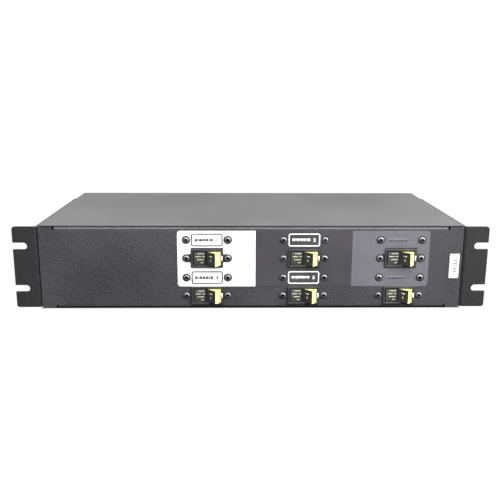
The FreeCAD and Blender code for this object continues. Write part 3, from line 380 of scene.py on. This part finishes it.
finishes = {
    "panel": powderCoat("panelPowder", (0.048, 0.047, 0.052), 0.4, 1.6, 1100.0, 4.2),
    "ear": powderCoat("earPowder", (0.024, 0.024, 0.025), 0.4, 1.2, 1250.0, 2.5),
    "case": powderCoat("casePowder", (0.045, 0.045, 0.047), 0.5, 0.7, 850.0, 1.0),
    "cover": powderCoat("coverPowder", (0.1, 0.1, 0.1), 0.42, 1.2, 1000.0, 2.4),
    "filmWhite": moulding("filmWhite", (0.86, 0.86, 0.86, 1), 0.35, 0.08, 1500.0, 0.1),
    "filmBlack": moulding("filmBlack", (0.05, 0.048, 0.055, 1), 0.42, 0.06, 1500.0, 0.25),
    "filmGrey": moulding("filmGrey", (0.128, 0.125, 0.142, 1), 0.42, 0.06, 1500.0, 0.25),
    "inkDark": moulding("inkDark", (0.05, 0.05, 0.055, 1), 0.5, 0.05, 2000.0, 0.05),
    "inkWhite": moulding("inkWhite", (0.85, 0.85, 0.85, 1), 0.5, 0.05, 2000.0, 0.05),
    "inkGrey": moulding("inkGrey", (0.11, 0.11, 0.12, 1), 0.5, 0.05, 2000.0, 0.05),
    "inkCream": moulding("inkCream", (0.55, 0.56, 0.38, 1), 0.5, 0.05, 2000.0, 0.05),
    "inkDim": moulding("inkDim", (0.52, 0.53, 0.38, 1), 0.5, 0.05, 2000.0, 0.05),
    "label": moulding("labelPaper", (0.66, 0.66, 0.66, 1), 0.55, 0.1, 2200.0, 0.15),
    "labelInk": moulding("labelInk", (0.2, 0.2, 0.21, 1), 0.6, 0.05, 2000.0, 0.05),
    "bezel": moulding("bezelGloss", (0.042, 0.042, 0.045, 1), 0.25, 0.1, 700.0, 0.05),
    "guard": moulding("guardPlate", (0.055, 0.056, 0.053, 1), 0.4, 0.1, 1200.0, 0.1),
    "rockerYellow": moulding("rockerYellow", (0.93, 0.9, 0.34, 1), 0.28, 0.08, 700.0, 0.04),
    "rockerBlack": moulding("rockerFace", (0.036, 0.036, 0.036, 1), 0.3, 0.1, 900.0, 0.08),
    "screw": platedMetal("blackOxide", (0.34, 0.34, 0.35), 0.4),
    # near-black finish for the deep faces of the screws' cross recess: painted shade
    "paintedRecessShade": moulding("recessShade", (0.004, 0.004, 0.004, 1), 0.8, 0.05, 900.0, 0.05, 0.1),
    "breaker": moulding("breakerMoulding", (0.02, 0.02, 0.022, 1), 0.5),
    "outlet": moulding("outletMoulding", (0.022, 0.022, 0.024, 1), 0.42, 0.12, 1100.0, 0.2),
    "gland": moulding("glandNylon", (0.02, 0.02, 0.021, 1), 0.38, 0.12, 800.0, 0.15),
    "rubber": moulding("sealRubber", (0.025, 0.025, 0.025, 1), 0.7, 0.1, 600.0, 0.3),
    "block": moulding("blockMoulding", (0.5, 0.5, 0.47, 1), 0.5),
    "arm": moulding("armMoulding", (0.2, 0.12, 0.07, 1), 0.5),
    "wire": moulding("wireSheath", (0.03, 0.03, 0.03, 1), 0.4),
    "earthWire": moulding("earthSheath", (0.08, 0.35, 0.1, 1), 0.4),
    "zinc": platedMetal("zincPlate", (0.63, 0.63, 0.6), 0.3),
    "copper": platedMetal("contactCopper", (0.85, 0.55, 0.33), 0.28),
    "chute": platedMetal("chuteSteel", (0.5, 0.5, 0.52), 0.35),
    "coil": platedMetal("coilWinding", (0.72, 0.36, 0.16), 0.35, (60.0, 60.0, 2600.0)),
}
print("finishes made:", len(finishes))


# sheet metal: CAD nodes with rounded edges

sheetMetal = {"edge": 0.25, "hairline": 0.75, "near": 0.1}
for node, finish, slotName in (("front_panel", "panel", "panel_paint"), ("base_pan", "case", "case_paint"),
                               ("rear_panel", "case", "case_paint"), ("top_cover", "cover", "cover_paint"),
                               ("left_rack_ear", "ear", "ear_paint"), ("right_rack_ear", "ear", "ear_paint")):
    roundedCopy(node + "_finished", node, finishes[finish], sheetMetal["edge"] * mm)


def liftCoverEdge(obj, amount):
    # the lid's front lower edge raised a little, so a hairline gap shows above the panel's bend
    front = min(v.co.y for v in obj.data.vertices)
    near = sheetMetal["near"] * mm
    low = min(v.co.z for v in obj.data.vertices if v.co.y < front + near)
    for v in obj.data.vertices:
        if v.co.y < front + near and v.co.z < low + near:
            v.co.z += amount


liftCoverEdge(bpy.data.objects["top_cover_finished"], sheetMetal["hairline"] * mm)
print("sheet metal finished")


# printed overlay: one film, printed in three zones

overlayPrint = {"whiteEnds": 3.55, "blackEnds": 102.0}
overlayLow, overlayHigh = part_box("circuit_overlay")


def makeOverlay():
    # the CAD film cut at its zones' borders; a face's material is the number of borders to its left
    source = frame["nodes"]["circuit_overlay"]
    mesh = source.data.copy()
    mesh.name = "circuitOverlay"
    work = bmesh.new()
    work.from_mesh(mesh)
    bmesh.ops.remove_doubles(work, verts=work.verts, dist=meshTools["weld"])
    for across in (overlayPrint["whiteEnds"], overlayPrint["blackEnds"]):  # cut at the print's borders
        bmesh.ops.bisect_plane(work, geom=work.verts[:] + work.edges[:] + work.faces[:],
                               plane_co=(across * mm, 0, 0), plane_no=(1, 0, 0))
    for face in work.faces:
        x = face.calc_center_median().x
        face.material_index = sum(x > overlayPrint[end] * mm for end in ("whiteEnds", "blackEnds"))
    mesh.materials.clear()
    work.to_mesh(mesh)
    work.free()
    for finish in ("filmWhite", "filmBlack", "filmGrey"):
        mesh.materials.append(finishes[finish])
    obj = addObject("circuitOverlay", mesh)
    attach(obj, "chassis")
    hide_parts("circuit_overlay")


makeOverlay()


# where the circuits are: read from the frame

def middle(node):  # half way between the corners of a node's box
    low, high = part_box(node)
    return (low + high) / 2


bezels = {n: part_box(f"breaker_bezel_{n}") for n in circuits}
panelFace = overlayHigh.y
filmFace = overlayLow.y


def circuitPlace(n):  # the middle of a bezel's front face
    low, high = bezels[n]
    return (low.x + high.x) / 2, low.y, (low.z + high.z) / 2


polePitch = 19.05 * mm


# label frames and plain numbers on the film

labelPrint = {
    "halfX": 16.0, "halfZ": 6.7, "radius": 2.2, "ink": 0.05,
    "lineWhite": 1.25, "lineBlack": 1.15, "lineGrey": 0.95,
    "numberHeight": 3.6, "numberAcross": 10.3, "blockStart": -12.3, "blockGap": 0.6,
    "blocks": (2.5, 1.0, 2.6, 2.5, 2.5, 1.0, 2.5), "blockHeight": 2.9, "thicken": 0.045,
    "innerRadius": 0.4, "cornerSteps": 8, "barShare": 0.9, "barSteps": 4,
}


def inkFrame(name, centre, line, material):
    # a printed frame: outer and inner rounded loops, closed round its thin section
    p = labelPrint
    outer = roundedLoop(p["halfX"], p["halfZ"], p["radius"], p["cornerSteps"])
    inner = roundedLoop(p["halfX"] - line, p["halfZ"] - line, max(p["radius"] - line, p["innerRadius"]),
                        p["cornerSteps"])
    ink = p["ink"]
    rings = [standLoop(loop, -lift, centre)
             for loop, lift in ((outer, 0.0), (outer, ink), (inner, ink), (inner, 0.0))]
    return meshPiece(name, np.concatenate(rings), ringFaces(4, len(outer), closed=True), material,
                     smooth=False)


def inkBar(name, centre, halfX, halfZ, material, lift, body="chassis", radius=0.2):
    # a thin rounded bar that stands off the surface by lift
    corner = min(radius, labelPrint["barShare"] * min(halfX, halfZ))
    loop = roundedLoop(halfX, halfZ, corner, labelPrint["barSteps"])
    return facePlate(name, [loop, loop], [-lift, 0.0], centre, material, body)


def inkNumber(name, text, centre, height, material, lift):
    # the built-in font's digit as a mesh, scaled to its height and stood up against the film
    curve = bpy.data.curves.new(name, "FONT")
    curve.body = text
    curve.align_x = "CENTER"
    curve.align_y = "CENTER"
    curve.offset = labelPrint["thicken"]
    curve.extrude = lift * 0.5
    holder = addObject(name, curve)
    bpy.context.view_layer.update()
    mesh = bpy.data.meshes.new_from_object(holder)
    bpy.data.objects.remove(holder)
    flat = np.zeros(len(mesh.vertices) * 3)
    mesh.vertices.foreach_get("co", flat)
    flat = flat.reshape(-1, 3)
    low, high = flat.min(0), flat.max(0)
    scale = height * mm / (high[1] - low[1])
    x, y, z = centre
    placed = np.stack([x + (flat[:, 0] - (low[0] + high[0]) / 2) * scale,
                       y - (flat[:, 2] + lift * 0.5) * mm,
                       z + (flat[:, 1] - (low[1] + high[1]) / 2) * scale], -1)
    mesh.vertices.foreach_set("co", placed.ravel())
    mesh.materials.clear()
    mesh.materials.append(material)
    mesh.name = name
    obj = addObject(name, mesh)
    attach(obj, "chassis")
    return obj


zoneInks = [("inkDark", "lineWhite"), ("inkWhite", "lineBlack"), ("inkGrey", "lineGrey")]
for n in circuits:
    x, y, z = circuitPlace(n)
    ink, line = zoneInks[(n - 1) % 3]
    spot = (x, filmFace, z + polePitch)
    inkFrame(f"labelFrame_{n}", spot, labelPrint[line], finishes[ink])
    inkNumber(f"labelNumber_{n}", str(n), (x + labelPrint["numberAcross"] * mm, filmFace, z + polePitch),
              labelPrint["numberHeight"], finishes[ink], labelPrint["ink"])
    across = labelPrint["blockStart"]
    for index, length in enumerate(labelPrint["blocks"]):
        inkBar(f"labelBlock_{n}_{index}", (x + (across + length / 2) * mm, filmFace, z + polePitch),
               length / 2, labelPrint["blockHeight"] / 2, finishes[ink], labelPrint["ink"])
        across += length + labelPrint["blockGap"]
print("overlay printed")


# breaker bezels, guards and rockers

bezelShape = {
    "halfX": 16.2, "halfZ": 9.5, "corner": 0.8, "edge": 0.45, "depth": 3.3,
    "openLeft": -14.2, "openRight": 14.15, "openHalfZ": 7.35, "openCorner": 0.5, "innerEdge": 0.5,
    "edgeSteps": 5,
}
guardShape = {"left": -13.2, "right": -1.9, "halfZ": 6.7, "front": 0.3, "back": 0.9, "edge": 0.2,
              "corner": 0.6, "frontCorner": 0.5, "edgeShare": 0.3,
              "dashes": ((4.9, -9.6, 5), (1.8, -11.6, 4), (1.8, -4.9, 2), (-1.4, -9.9, 5), (-4.5, -6.4, 2)),
              "dashPitch": 1.35, "dashLength": 1.0, "dashHeight": 1.25, "ink": 0.04}
rockerShape = {
    "radius": 14.7, "halfZ": 6.9, "pivotDepth": 5.56, "faceFromPivot": 3.61, "faceTurn": 42.3,
    "left": -6.0, "low": -2.5, "edge": 0.3, "facePlate": 0.4, "plateEdge": 0.05,
    "markAlong": 8.2, "markLevel": -1.7, "markLength": 2.4, "markWidth": 1.1,
    "dashLevel": 2.6, "dashAlong": 8.2, "dashLength": 1.4, "dashWidth": 4.2, "ink": 0.04,
    "plateRise": 0.75, "plateInset": 0.1, "plateCorner": 0.3, "markCorner": 0.2,
    "arcSteps": 28, "flatSteps": 14, "edgeSteps": 5, "markSteps": 4,
}
tickShape = {"left": 14.3, "right": 15.7, "halfZ": 2.75, "corner": 0.3, "ink": 0.05}


def makeBezel(n):
    # one closed section: back, outer wall, quarter-round front edge, front face, inner edge, inner wall
    b = bezelShape
    openX = (b["openRight"] + b["openLeft"]) / 2
    openHalf = (b["openRight"] - b["openLeft"]) / 2
    rings = []
    turn = np.linspace(0, np.pi / 2, b["edgeSteps"])
    outer = [(0.0, b["depth"])] + [(b["edge"] * (1 - np.cos(a)), b["edge"] * (1 - np.sin(a))) for a in turn]
    for inset, depth in outer:
        loop = roundedLoop(b["halfX"] - inset, b["halfZ"] - inset, b["corner"])
        rings.append((loop, depth))
    inner = [(b["innerEdge"] * (1 - np.sin(a)), b["innerEdge"] * (1 - np.cos(a))) for a in turn]
    inner.append((0.0, b["depth"]))
    for grow, depth in inner:
        loop = roundedLoop(openHalf + grow, b["openHalfZ"] + grow, b["openCorner"] + grow)
        loop = loop + np.array([openX, 0.0])
        rings.append((loop, depth))
    steps = len(rings[0][0])
    verts = [standLoop(loop, depth, circuitPlace(n)) for loop, depth in rings]
    bezel = meshPiece(f"bezel_{n}", np.concatenate(verts), ringFaces(len(rings), steps, closed=True),
                      finishes["bezel"])
    smoothByAngle(bezel, meshTools["bezelAngle"])
    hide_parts(f"breaker_bezel_{n}")


def makeGuard(n):
    # a plate with a rounded front edge: each loop is drawn in as it comes forwards; dashes and a tick on it
    g = guardShape
    x, y, z = circuitPlace(n)
    halfX, centreX = (g["right"] - g["left"]) / 2, (g["right"] + g["left"]) / 2
    part = g["edge"] * g["edgeShare"]
    rings = ((g["edge"], g["frontCorner"], g["front"]), (part, g["corner"], g["front"] + part),
             (0.0, g["corner"], g["front"] + g["edge"]), (0.0, g["corner"], g["back"]))
    loops = [roundedLoop(halfX - inset, g["halfZ"] - inset, corner) for inset, corner, depth in rings]
    guard = facePlate(f"guard_{n}", loops, [depth for inset, corner, depth in rings],
                      (x + centreX * mm, y, z), finishes["guard"])
    smoothByAngle(guard, meshTools["bezelAngle"])
    for index, (level, start, count) in enumerate(g["dashes"]):
        for step in range(count):
            across = start + g["dashPitch"] * (step + 0.5)
            inkBar(f"guardDash_{n}_{index}_{step}", (x + across * mm, y + g["front"] * mm, z + level * mm),
                   g["dashLength"] / 2, g["dashHeight"] / 2, finishes["inkDim"], g["ink"])
    t = tickShape
    inkBar(f"onTick_{n}", (x + (t["left"] + t["right"]) / 2 * mm, y, z), (t["right"] - t["left"]) / 2,
           t["halfZ"], finishes["inkWhite"], t["ink"], radius=t["corner"])


def rockerOutline():
    # about the hinge, x right and p forwards: flat face up to the ridge, drum arc down, then the underside
    r = rockerShape
    turn = radians(r["faceTurn"])
    along, out = np.array([np.cos(turn), np.sin(turn)]), np.array([-np.sin(turn), np.cos(turn)])
    face = r["faceFromPivot"] - r["facePlate"]
    reach = np.sqrt(r["radius"] ** 2 - face ** 2)
    ridge = out * face + along * reach
    startAngle = np.arctan2(ridge[1], ridge[0])
    endAngle = np.arcsin(r["low"] / r["radius"])
    arc = np.linspace(startAngle, endAngle, r["arcSteps"])
    drum = np.stack([r["radius"] * np.cos(arc), r["radius"] * np.sin(arc)], -1)
    leftFace = out * face + along * ((r["left"] + np.sin(turn) * face) / np.cos(turn))
    flat = leftFace + (ridge - leftFace) * np.linspace(0, 1, r["flatSteps"])[:-1, None]
    under = np.array([[r["left"], r["low"]]])
    return np.concatenate([flat, drum, under]), along, out, leftFace


def makeRocker(n):
    # the outline carried from side to side: ring i at height z, drawn in by the edge's quarter round
    r = rockerShape
    x, y, z = circuitPlace(n)
    body = f"rocker_{n}"
    pivotY = y + r["pivotDepth"] * mm
    outline, along, out, leftFace = rockerOutline()
    turn = np.linspace(0, np.pi / 2, r["edgeSteps"])
    section = [(-r["halfZ"] + r["edge"] * (1 - np.sin(a)), r["edge"] * (1 - np.cos(a))) for a in turn]
    section += [(-level, inset) for level, inset in section[::-1]]
    rings = []
    for level, inset in section:
        loop = insetLoop(outline, -inset)
        rings.append(np.stack([x + loop[:, 0] * mm, pivotY - loop[:, 1] * mm,
                               np.full(len(loop), z + level * mm)], -1))
    drum = meshPiece(f"rockerDrum_{n}", np.concatenate(rings), cappedFaces(len(rings), len(outline)),
                     finishes["rockerYellow"], body)
    outwards(drum)
    smoothByAngle(drum, meshTools["rockerAngle"])
    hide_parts(f"rocker_{n}")

    def onFace(u, level, lift):  # a place on the flat face: u along it from the hinge's foot, level in z
        spot = out * (r["faceFromPivot"] - r["facePlate"] + lift) + along * u
        return x + spot[0] * mm, pivotY - spot[1] * mm, z + level * mm

    reach = np.sqrt(r["radius"] ** 2 - r["faceFromPivot"] ** 2)
    low = leftFace @ along + r["plateEdge"]
    middleU, halfU = (low + reach) / 2, (reach - low) / 2
    plates = []
    for inset, rise in ((0.0, 0.0), (0.0, r["plateRise"]), (r["plateInset"], 1.0)):
        loop = roundedLoop(halfU - inset, r["halfZ"] - r["plateEdge"] - inset, r["plateCorner"])
        plates.append([onFace(middleU + u, level, rise * r["facePlate"]) for u, level in loop])
    plate = meshPiece(f"rockerFace_{n}", plates, cappedFaces(len(plates), len(loop)),
                      finishes["rockerBlack"], body)
    outwards(plate)
    smoothByAngle(plate, meshTools["rockerAngle"])
    marks = ((r["markAlong"], r["markLevel"], r["markWidth"], r["markLength"]),
             (r["dashAlong"], r["dashLevel"], r["dashWidth"], r["dashLength"]))
    for index, (u, level, width, height) in enumerate(marks):
        loop = roundedLoop(width / 2, height / 2, r["markCorner"], r["markSteps"])
        rings = [[onFace(u + du, level + dz, r["facePlate"] + lift) for du, dz in loop]
                 for lift in (0.0, r["ink"])]
        mark = meshPiece(f"rockerMark_{n}_{index}", rings, cappedFaces(2, len(loop)), finishes["inkCream"],
                         body)
        outwards(mark)


def outwards(obj):  # faces turned outwards on a closed mesh
    work = bmesh.new()
    work.from_mesh(obj.data)
    bmesh.ops.recalc_face_normals(work, faces=work.faces)
    work.to_mesh(obj.data)
    work.free()


for n in circuits:
    makeBezel(n)
    makeGuard(n)
    makeRocker(n)
print("breakers dressed")


# screws: a turned pan head with a cross recess pressed into it

screwShape = {"radius": 2.9, "height": 2.0, "crown": 0.75, "armHalf": 0.5, "armLength": 1.9, "recess": 1.7,
              "pit": 1.15, "wallSlope": 0.16, "endSlope": 0.5, "pitSlope": 0.45, "rings": 26,
              "steps": 64, "shadeFrom": 0.35, "pitch": 42.2, "turnStep": 11.0, "turnEvery": 7, "turns": 8,
              "ringPower": 0.9, "lastRings": (0.96, 0.99, 1.0), "crownPower": 2.6, "endPower": 0.8,
              "wallMiddle": 0.5, "pitMiddle": 0.3, "weld": 1e-4}


def screwHead():
    # height over (ring, angle): pan profile minus a tapered cross, whose arms lie along x and z
    s = screwShape
    r = np.linspace(0, 1, s["rings"]) ** s["ringPower"] * s["lastRings"][0]
    r = np.append(r, s["lastRings"][1:]) * s["radius"]
    t = np.linspace(0, 2 * np.pi, s["steps"], endpoint=False)
    away, angle = np.meshgrid(r, t, indexing="ij")
    across, up = away * np.cos(angle), away * np.sin(angle)
    q = np.clip(away / s["radius"], 0, 1)
    dome = np.sqrt(np.clip(1 - q ** s["crownPower"], 0, 1))
    height = s["height"] - s["crown"] + s["crown"] * dome
    beside, out = np.minimum(abs(across), abs(up)), np.maximum(abs(across), abs(up))
    wall = np.clip((s["armHalf"] - beside) / s["wallSlope"] + s["wallMiddle"], 0, 1)
    end = np.clip((s["armLength"] - out) / s["endSlope"], 0, 1)
    pit = np.clip((s["pit"] - away) / s["pitSlope"] + s["pitMiddle"], 0, 1)
    sunk = np.maximum(wall * end ** s["endPower"], pit)
    height -= s["recess"] * sunk
    rim = np.stack([s["radius"] * np.cos(t), np.zeros_like(t), s["radius"] * np.sin(t)], -1)
    top = np.stack([across, -height, up], -1)
    verts = np.concatenate([top.reshape(-1, 3), rim]) * mm
    rings = len(r) + 1
    faces = ringFaces(rings, s["steps"])
    faces.append(list(range((rings - 1) * s["steps"], rings * s["steps"])))
    # faces sunk past shadeFrom take the near-black recess finish: painted shade in the recess
    shaded = (sunk > s["shadeFrom"]).ravel()[:-s["steps"]].astype(int)
    shaded = np.append(shaded, np.zeros(s["steps"] + 1, int))
    return verts, faces, shaded


def placeScrews(name, node, spots):
    # copies of one head, each moved and turned to its place, in one mesh
    verts, faces, shaded = screwHead()
    allVerts, allFaces = [], []
    for index, (place, facing) in enumerate(spots):
        step = (index * screwShape["turnEvery"]) % screwShape["turns"]
        spin = Matrix.Rotation(radians(screwShape["turnStep"] * step), 3, "Y")
        turn = np.array(Matrix.Rotation(facing, 3, "Z") @ spin)
        allVerts.append(verts @ turn.T + np.array(place))
        allFaces += [[v + index * len(verts) for v in face] for face in faces]
    obj = meshPiece(name, np.concatenate(allVerts), allFaces, [finishes["screw"], finishes["paintedRecessShade"]])
    obj.data.polygons.foreach_set("material_index", np.tile(shaded, len(spots)))
    work = bmesh.new()
    work.from_mesh(obj.data)
    bmesh.ops.remove_doubles(work, verts=work.verts, dist=screwShape["weld"] * mm)
    bmesh.ops.recalc_face_normals(work, faces=work.faces)
    work.to_mesh(obj.data)
    work.free()
    smoothByAngle(obj, meshTools["screwAngle"])
    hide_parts(node)


breakerSpots = []
for n in circuits:
    x, y, z = circuitPlace(n)
    for level in (z, z + polePitch):
        for side in (-1, 1):
            breakerSpots.append(((x + side * screwShape["pitch"] / 2 * mm, panelFace, level), 0.0))
placeScrews("breakerScrewHeads", "breaker_screws", breakerSpots)

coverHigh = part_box("top_cover")[1]
caseScrews = {"level": 81.2, "across": (-200.0, -66.0, 66.0, 200.0), "sideBack": 90.0, "sideLevel": 78.0,
              "earBacks": (-80.0, 50.0), "earLevels": (21.0, 65.0), "earSheet": 3.0}
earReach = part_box("base_pan")[1].x + caseScrews["earSheet"] * mm
caseSpots = [((x * mm, coverHigh.y, caseScrews["level"] * mm), radians(180)) for x in caseScrews["across"]]
for side in (-1, 1):
    facing = radians(90 * side)
    sideSpot = (side * coverHigh.x, caseScrews["sideBack"] * mm, caseScrews["sideLevel"] * mm)
    caseSpots.append((sideSpot, facing))
    caseSpots += [((side * earReach, back * mm, level * mm), facing)
                  for back in caseScrews["earBacks"] for level in caseScrews["earLevels"]]
placeScrews("caseScrewHeads", "case_screws", caseSpots)
print("screws driven")


# asset label: blank paper with a few plain grey bars

assetLabel = {"bars": (1.0, 0.7, 1.2, 0.6, 0.9, 1.1, 0.7, 1.0), "pitch": 1.75, "halfX": 2.0, "ink": 0.03,
              "aside": 0.8, "corner": 0.05, "edge": 0.03}
roundedCopy("assetLabelPaper", "asset_label", finishes["label"], assetLabel["edge"] * mm, 2)
labelMiddle, labelFace = middle("asset_label"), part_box("asset_label")[0].y
for index, width in enumerate(assetLabel["bars"]):
    level = labelMiddle.z + (index - (len(assetLabel["bars"]) - 1) / 2) * assetLabel["pitch"] * mm
    inkBar(f"assetBar_{index}", (labelMiddle.x + assetLabel["aside"] * mm, labelFace, level),
           assetLabel["halfX"], width / 2, finishes["labelInk"], assetLabel["ink"],
           radius=assetLabel["corner"])
print("asset label stuck on")


# rear: outlets, gland and earth stud

rearEdges = {"outlet": 0.3, "gland": 0.5, "seal": 0.6, "nut": 0.3}
for n in circuits:
    roundedCopy(f"outletMoulding_{n}", f"twin_outlet_{n}", finishes["outlet"], rearEdges["outlet"] * mm,
                2)
for node, name in (("gland_body", "glandBody"), ("gland_nut", "glandNut"), ("gland_locknut", "glandLocknut")):
    roundedCopy(name, node, finishes["gland"], rearEdges["gland"] * mm)
roundedCopy("glandSeal", "gland_seal", finishes["rubber"], rearEdges["seal"] * mm)
roundedCopy("earthNuts", "earth_nuts", finishes["zinc"], rearEdges["nut"] * mm, 2)

studShape = {"radius": 3.0, "pitch": 1.0, "depth": 0.55, "steps": 48, "perTurn": 16, "tip": 1.2,
             "tipShare": 0.75}


def makeStud():
    # a thread: radius falls with a triangle wave of (distance along + turn / 2 pi), one pitch per turn
    s = studShape
    low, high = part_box("earth_stud")
    x, z = (low.x + high.x) / 2, (low.z + high.z) / 2
    length = (high.y - low.y) / mm
    along = np.linspace(0, length, int(length / s["pitch"] * s["perTurn"]))[:, None]
    t = np.linspace(0, 2 * np.pi, s["steps"], endpoint=False)[None, :]
    phase = (along / s["pitch"] + t / (2 * np.pi)) % 1.0
    wave = 1 - abs(2 * phase - 1)
    taper = s["tipShare"] + (1 - s["tipShare"]) * np.clip((length - along) / s["tip"], 0, 1)
    radius = (s["radius"] - s["depth"] * wave) * taper
    verts = np.stack([x + radius * np.cos(t) * mm, low.y + (along + 0 * t) * mm,
                      z + radius * np.sin(t) * mm], -1)
    stud = meshPiece("earthStudThread", verts, cappedFaces(len(along), s["steps"]), finishes["zinc"])
    outwards(stud)
    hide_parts("earth_stud")


makeStud()
print("rear finished")


# hidden CAD pieces keep their shape and get their finish

inside = {
    "breaker_pins": "zinc", "line_terminals": "copper", "load_terminals": "copper", "trip_coils": "coil",
    "arc_chutes": "chute", "outlet_contacts": "copper", "outlet_inserts": "outlet", "earth_bar": "copper",
    "earth_wire": "earthWire", "pole_links": "copper", "feed_wires": "wire", "load_wires": "wire",
    "terminal_block": "block", "terminal_block_screws": "zinc",
}
inside.update({f"breaker_case_{n}": "breaker" for n in circuits})
inside.update({f"contact_arm_{n}": "arm" for n in circuits})
for node, finish in inside.items():
    piece = frame["nodes"][node]
    if not piece.data.materials:
        piece.data.materials.append(finishes[finish])
    for slotIndex in range(len(piece.material_slots)):
        piece.material_slots[slotIndex].material = finishes[finish]
print("inside pieces finished")


# floor, light and camera

# shadeStart and contact: where the floor's painted contact shadow starts at the case's outline and where it
# has faded out
studio = {"floorSize": 8.0, "backdrop": 1.05, "shadeStart": -0.0005, "contact": 0.0025,
          "gap": 0.05, "skySides": 3.0, "skyMiddle": 0.85, "skyFront": 0.2, "skyBack": 0.8,
          "skyLow": 0.04, "skyHigh": -0.26, "frontFrom": 0.2, "backFrom": -0.6}
lamps = {  # place, aim, width and height in metres, then power in watts
    "overhead": ((0.0, -0.55, 0.85), (0, -0.1, 0.05), 1.6, 0.6, 13.0),
    "keyRight": ((0.75, -1.35, 0.98), (0.05, -0.1, 0.04), 1.2, 1.0, 27.0),
    "keyLeft": ((-0.75, -1.35, 0.98), (-0.05, -0.1, 0.04), 1.2, 1.0, 6.0),
    "right": ((1.45, -0.8, 0.55), (0, -0.1, 0.04), 0.5, 0.6, 24.0),
    "left": ((-1.5, -0.85, 0.4), (0, -0.1, 0.04), 0.5, 0.6, 1.5),
}


def makeFloor():
    # a plain white sweep that the camera sees and that throws no light up at the object; near the case its
    # glow fades to black, a painted contact shadow
    half = studio["floorSize"] / 2
    mesh = bpy.data.meshes.new("floor")
    corners = [(x * half, y * half, 0) for x, y in ((-1, -1), (1, -1), (1, 1), (-1, 1))]
    mesh.from_pydata(corners, [], [(0, 1, 2, 3)])
    material, nodes, links, shader, place = startMaterial("whiteFloor")
    shader.inputs["Base Color"].default_value = (0, 0, 0, 1)
    shader.inputs["Specular IOR Level"].default_value = 0.0
    shader.inputs["Emission Color"].default_value = (1, 1, 1, 1)
    # how far outside the case a spot is: the larger of |x| - half width and |y| - half depth
    split = addNode(nodes, "ShaderNodeSeparateXYZ", links, Vector=place)
    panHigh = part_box("base_pan")[1]
    outside = [sumNode(nodes, links, "SUBTRACT", sumNode(nodes, links, "ABSOLUTE", split.outputs[axis]), half)
               for axis, half in (("X", panHigh.x), ("Y", panHigh.y))]
    # painted contact shadow: no glow under the case, rising to the full backdrop a few millimetres outside
    # its outline
    links.new(ramp(nodes, links, sumNode(nodes, links, "MAXIMUM", *outside), studio["shadeStart"],
                   studio["contact"], 0.0, studio["backdrop"]), shader.inputs["Emission Strength"])
    mesh.materials.append(material)
    floor = addObject("floor", mesh)
    floor.location.z = cadBox[0].z - studio["gap"] * mm
    floor.visible_diffuse = False
    floor.visible_glossy = False


def softLight(name, place, aim, width, height, power):  # a rectangle of light at a place, turned to its aim
    light = bpy.data.lights.new(name, "AREA")
    light.shape = "RECTANGLE"
    light.size = width
    light.size_y = height
    light.energy = power
    lamp = addObject(name, light)
    lamp.location = place
    lamp.rotation_euler = (Vector(aim) - Vector(place)).to_track_quat("-Z", "Y").to_euler()


def makeWorld():
    # white to the camera; as light, dark below the horizon, brighter with height and behind the object
    world = bpy.data.worlds.new("softWhite")
    world.use_nodes = True
    nodes, links = world.node_tree.nodes, world.node_tree.links
    shade = nodes["Background"]
    shade.inputs["Color"].default_value = (1, 1, 1, 1)
    incoming = nodes.new("ShaderNodeNewGeometry").outputs["Incoming"]
    split = addNode(nodes, "ShaderNodeSeparateXYZ", links, Vector=incoming)
    height = ramp(nodes, links, split.outputs["Z"], studio["skyLow"], studio["skyHigh"])
    behind = ramp(nodes, links, split.outputs["Y"], studio["frontFrom"], studio["backFrom"],
                  studio["skyFront"], studio["skyBack"])
    across = sumNode(nodes, links, "MULTIPLY", split.outputs["X"], split.outputs["X"])
    sides = sumNode(nodes, links, "MULTIPLY_ADD", across, studio["skySides"], studio["skyMiddle"])
    sky = sumNode(nodes, links, "MULTIPLY", sumNode(nodes, links, "MULTIPLY", height, behind), sides)
    seen = nodes.new("ShaderNodeLightPath").outputs["Is Camera Ray"]
    strength = addNode(nodes, "ShaderNodeMix", links, data_type="FLOAT")
    links.new(seen, strength.inputs[0])
    links.new(sky, strength.inputs[2])
    strength.inputs[3].default_value = studio["backdrop"]
    links.new(strength.outputs[0], shade.inputs["Strength"])
    bpy.context.scene.world = world


makeFloor()
makeWorld()
for name, values in lamps.items():
    softLight(name, *values)
bpy.context.scene.view_settings.view_transform = "Standard"

cameraView = {"place": (-0.0154, -0.7792, 0.2236), "down": 13.61, "turn": -1.14, "roll": 0.243,
              "lens": 48.95, "sensor": 36.0, "near": 0.01, "far": 50.0}


def makeCamera():
    # looks along +Y tipped down, turned about the vertical and then rolled about its own line of sight
    data = bpy.data.cameras.new("camera")
    data.lens = cameraView["lens"]
    data.sensor_width = cameraView["sensor"]
    data.clip_start = cameraView["near"]
    data.clip_end = cameraView["far"]
    camera = addObject("camera", data)
    aim = Euler((radians(90 - cameraView["down"]), 0, radians(cameraView["turn"]))).to_matrix()
    camera.matrix_world = Matrix.Translation(cameraView["place"]) @ (
        aim @ Matrix.Rotation(radians(cameraView["roll"]), 3, "Z")).to_4x4()
    bpy.context.scene.camera = camera


makeCamera()
print("studio ready")
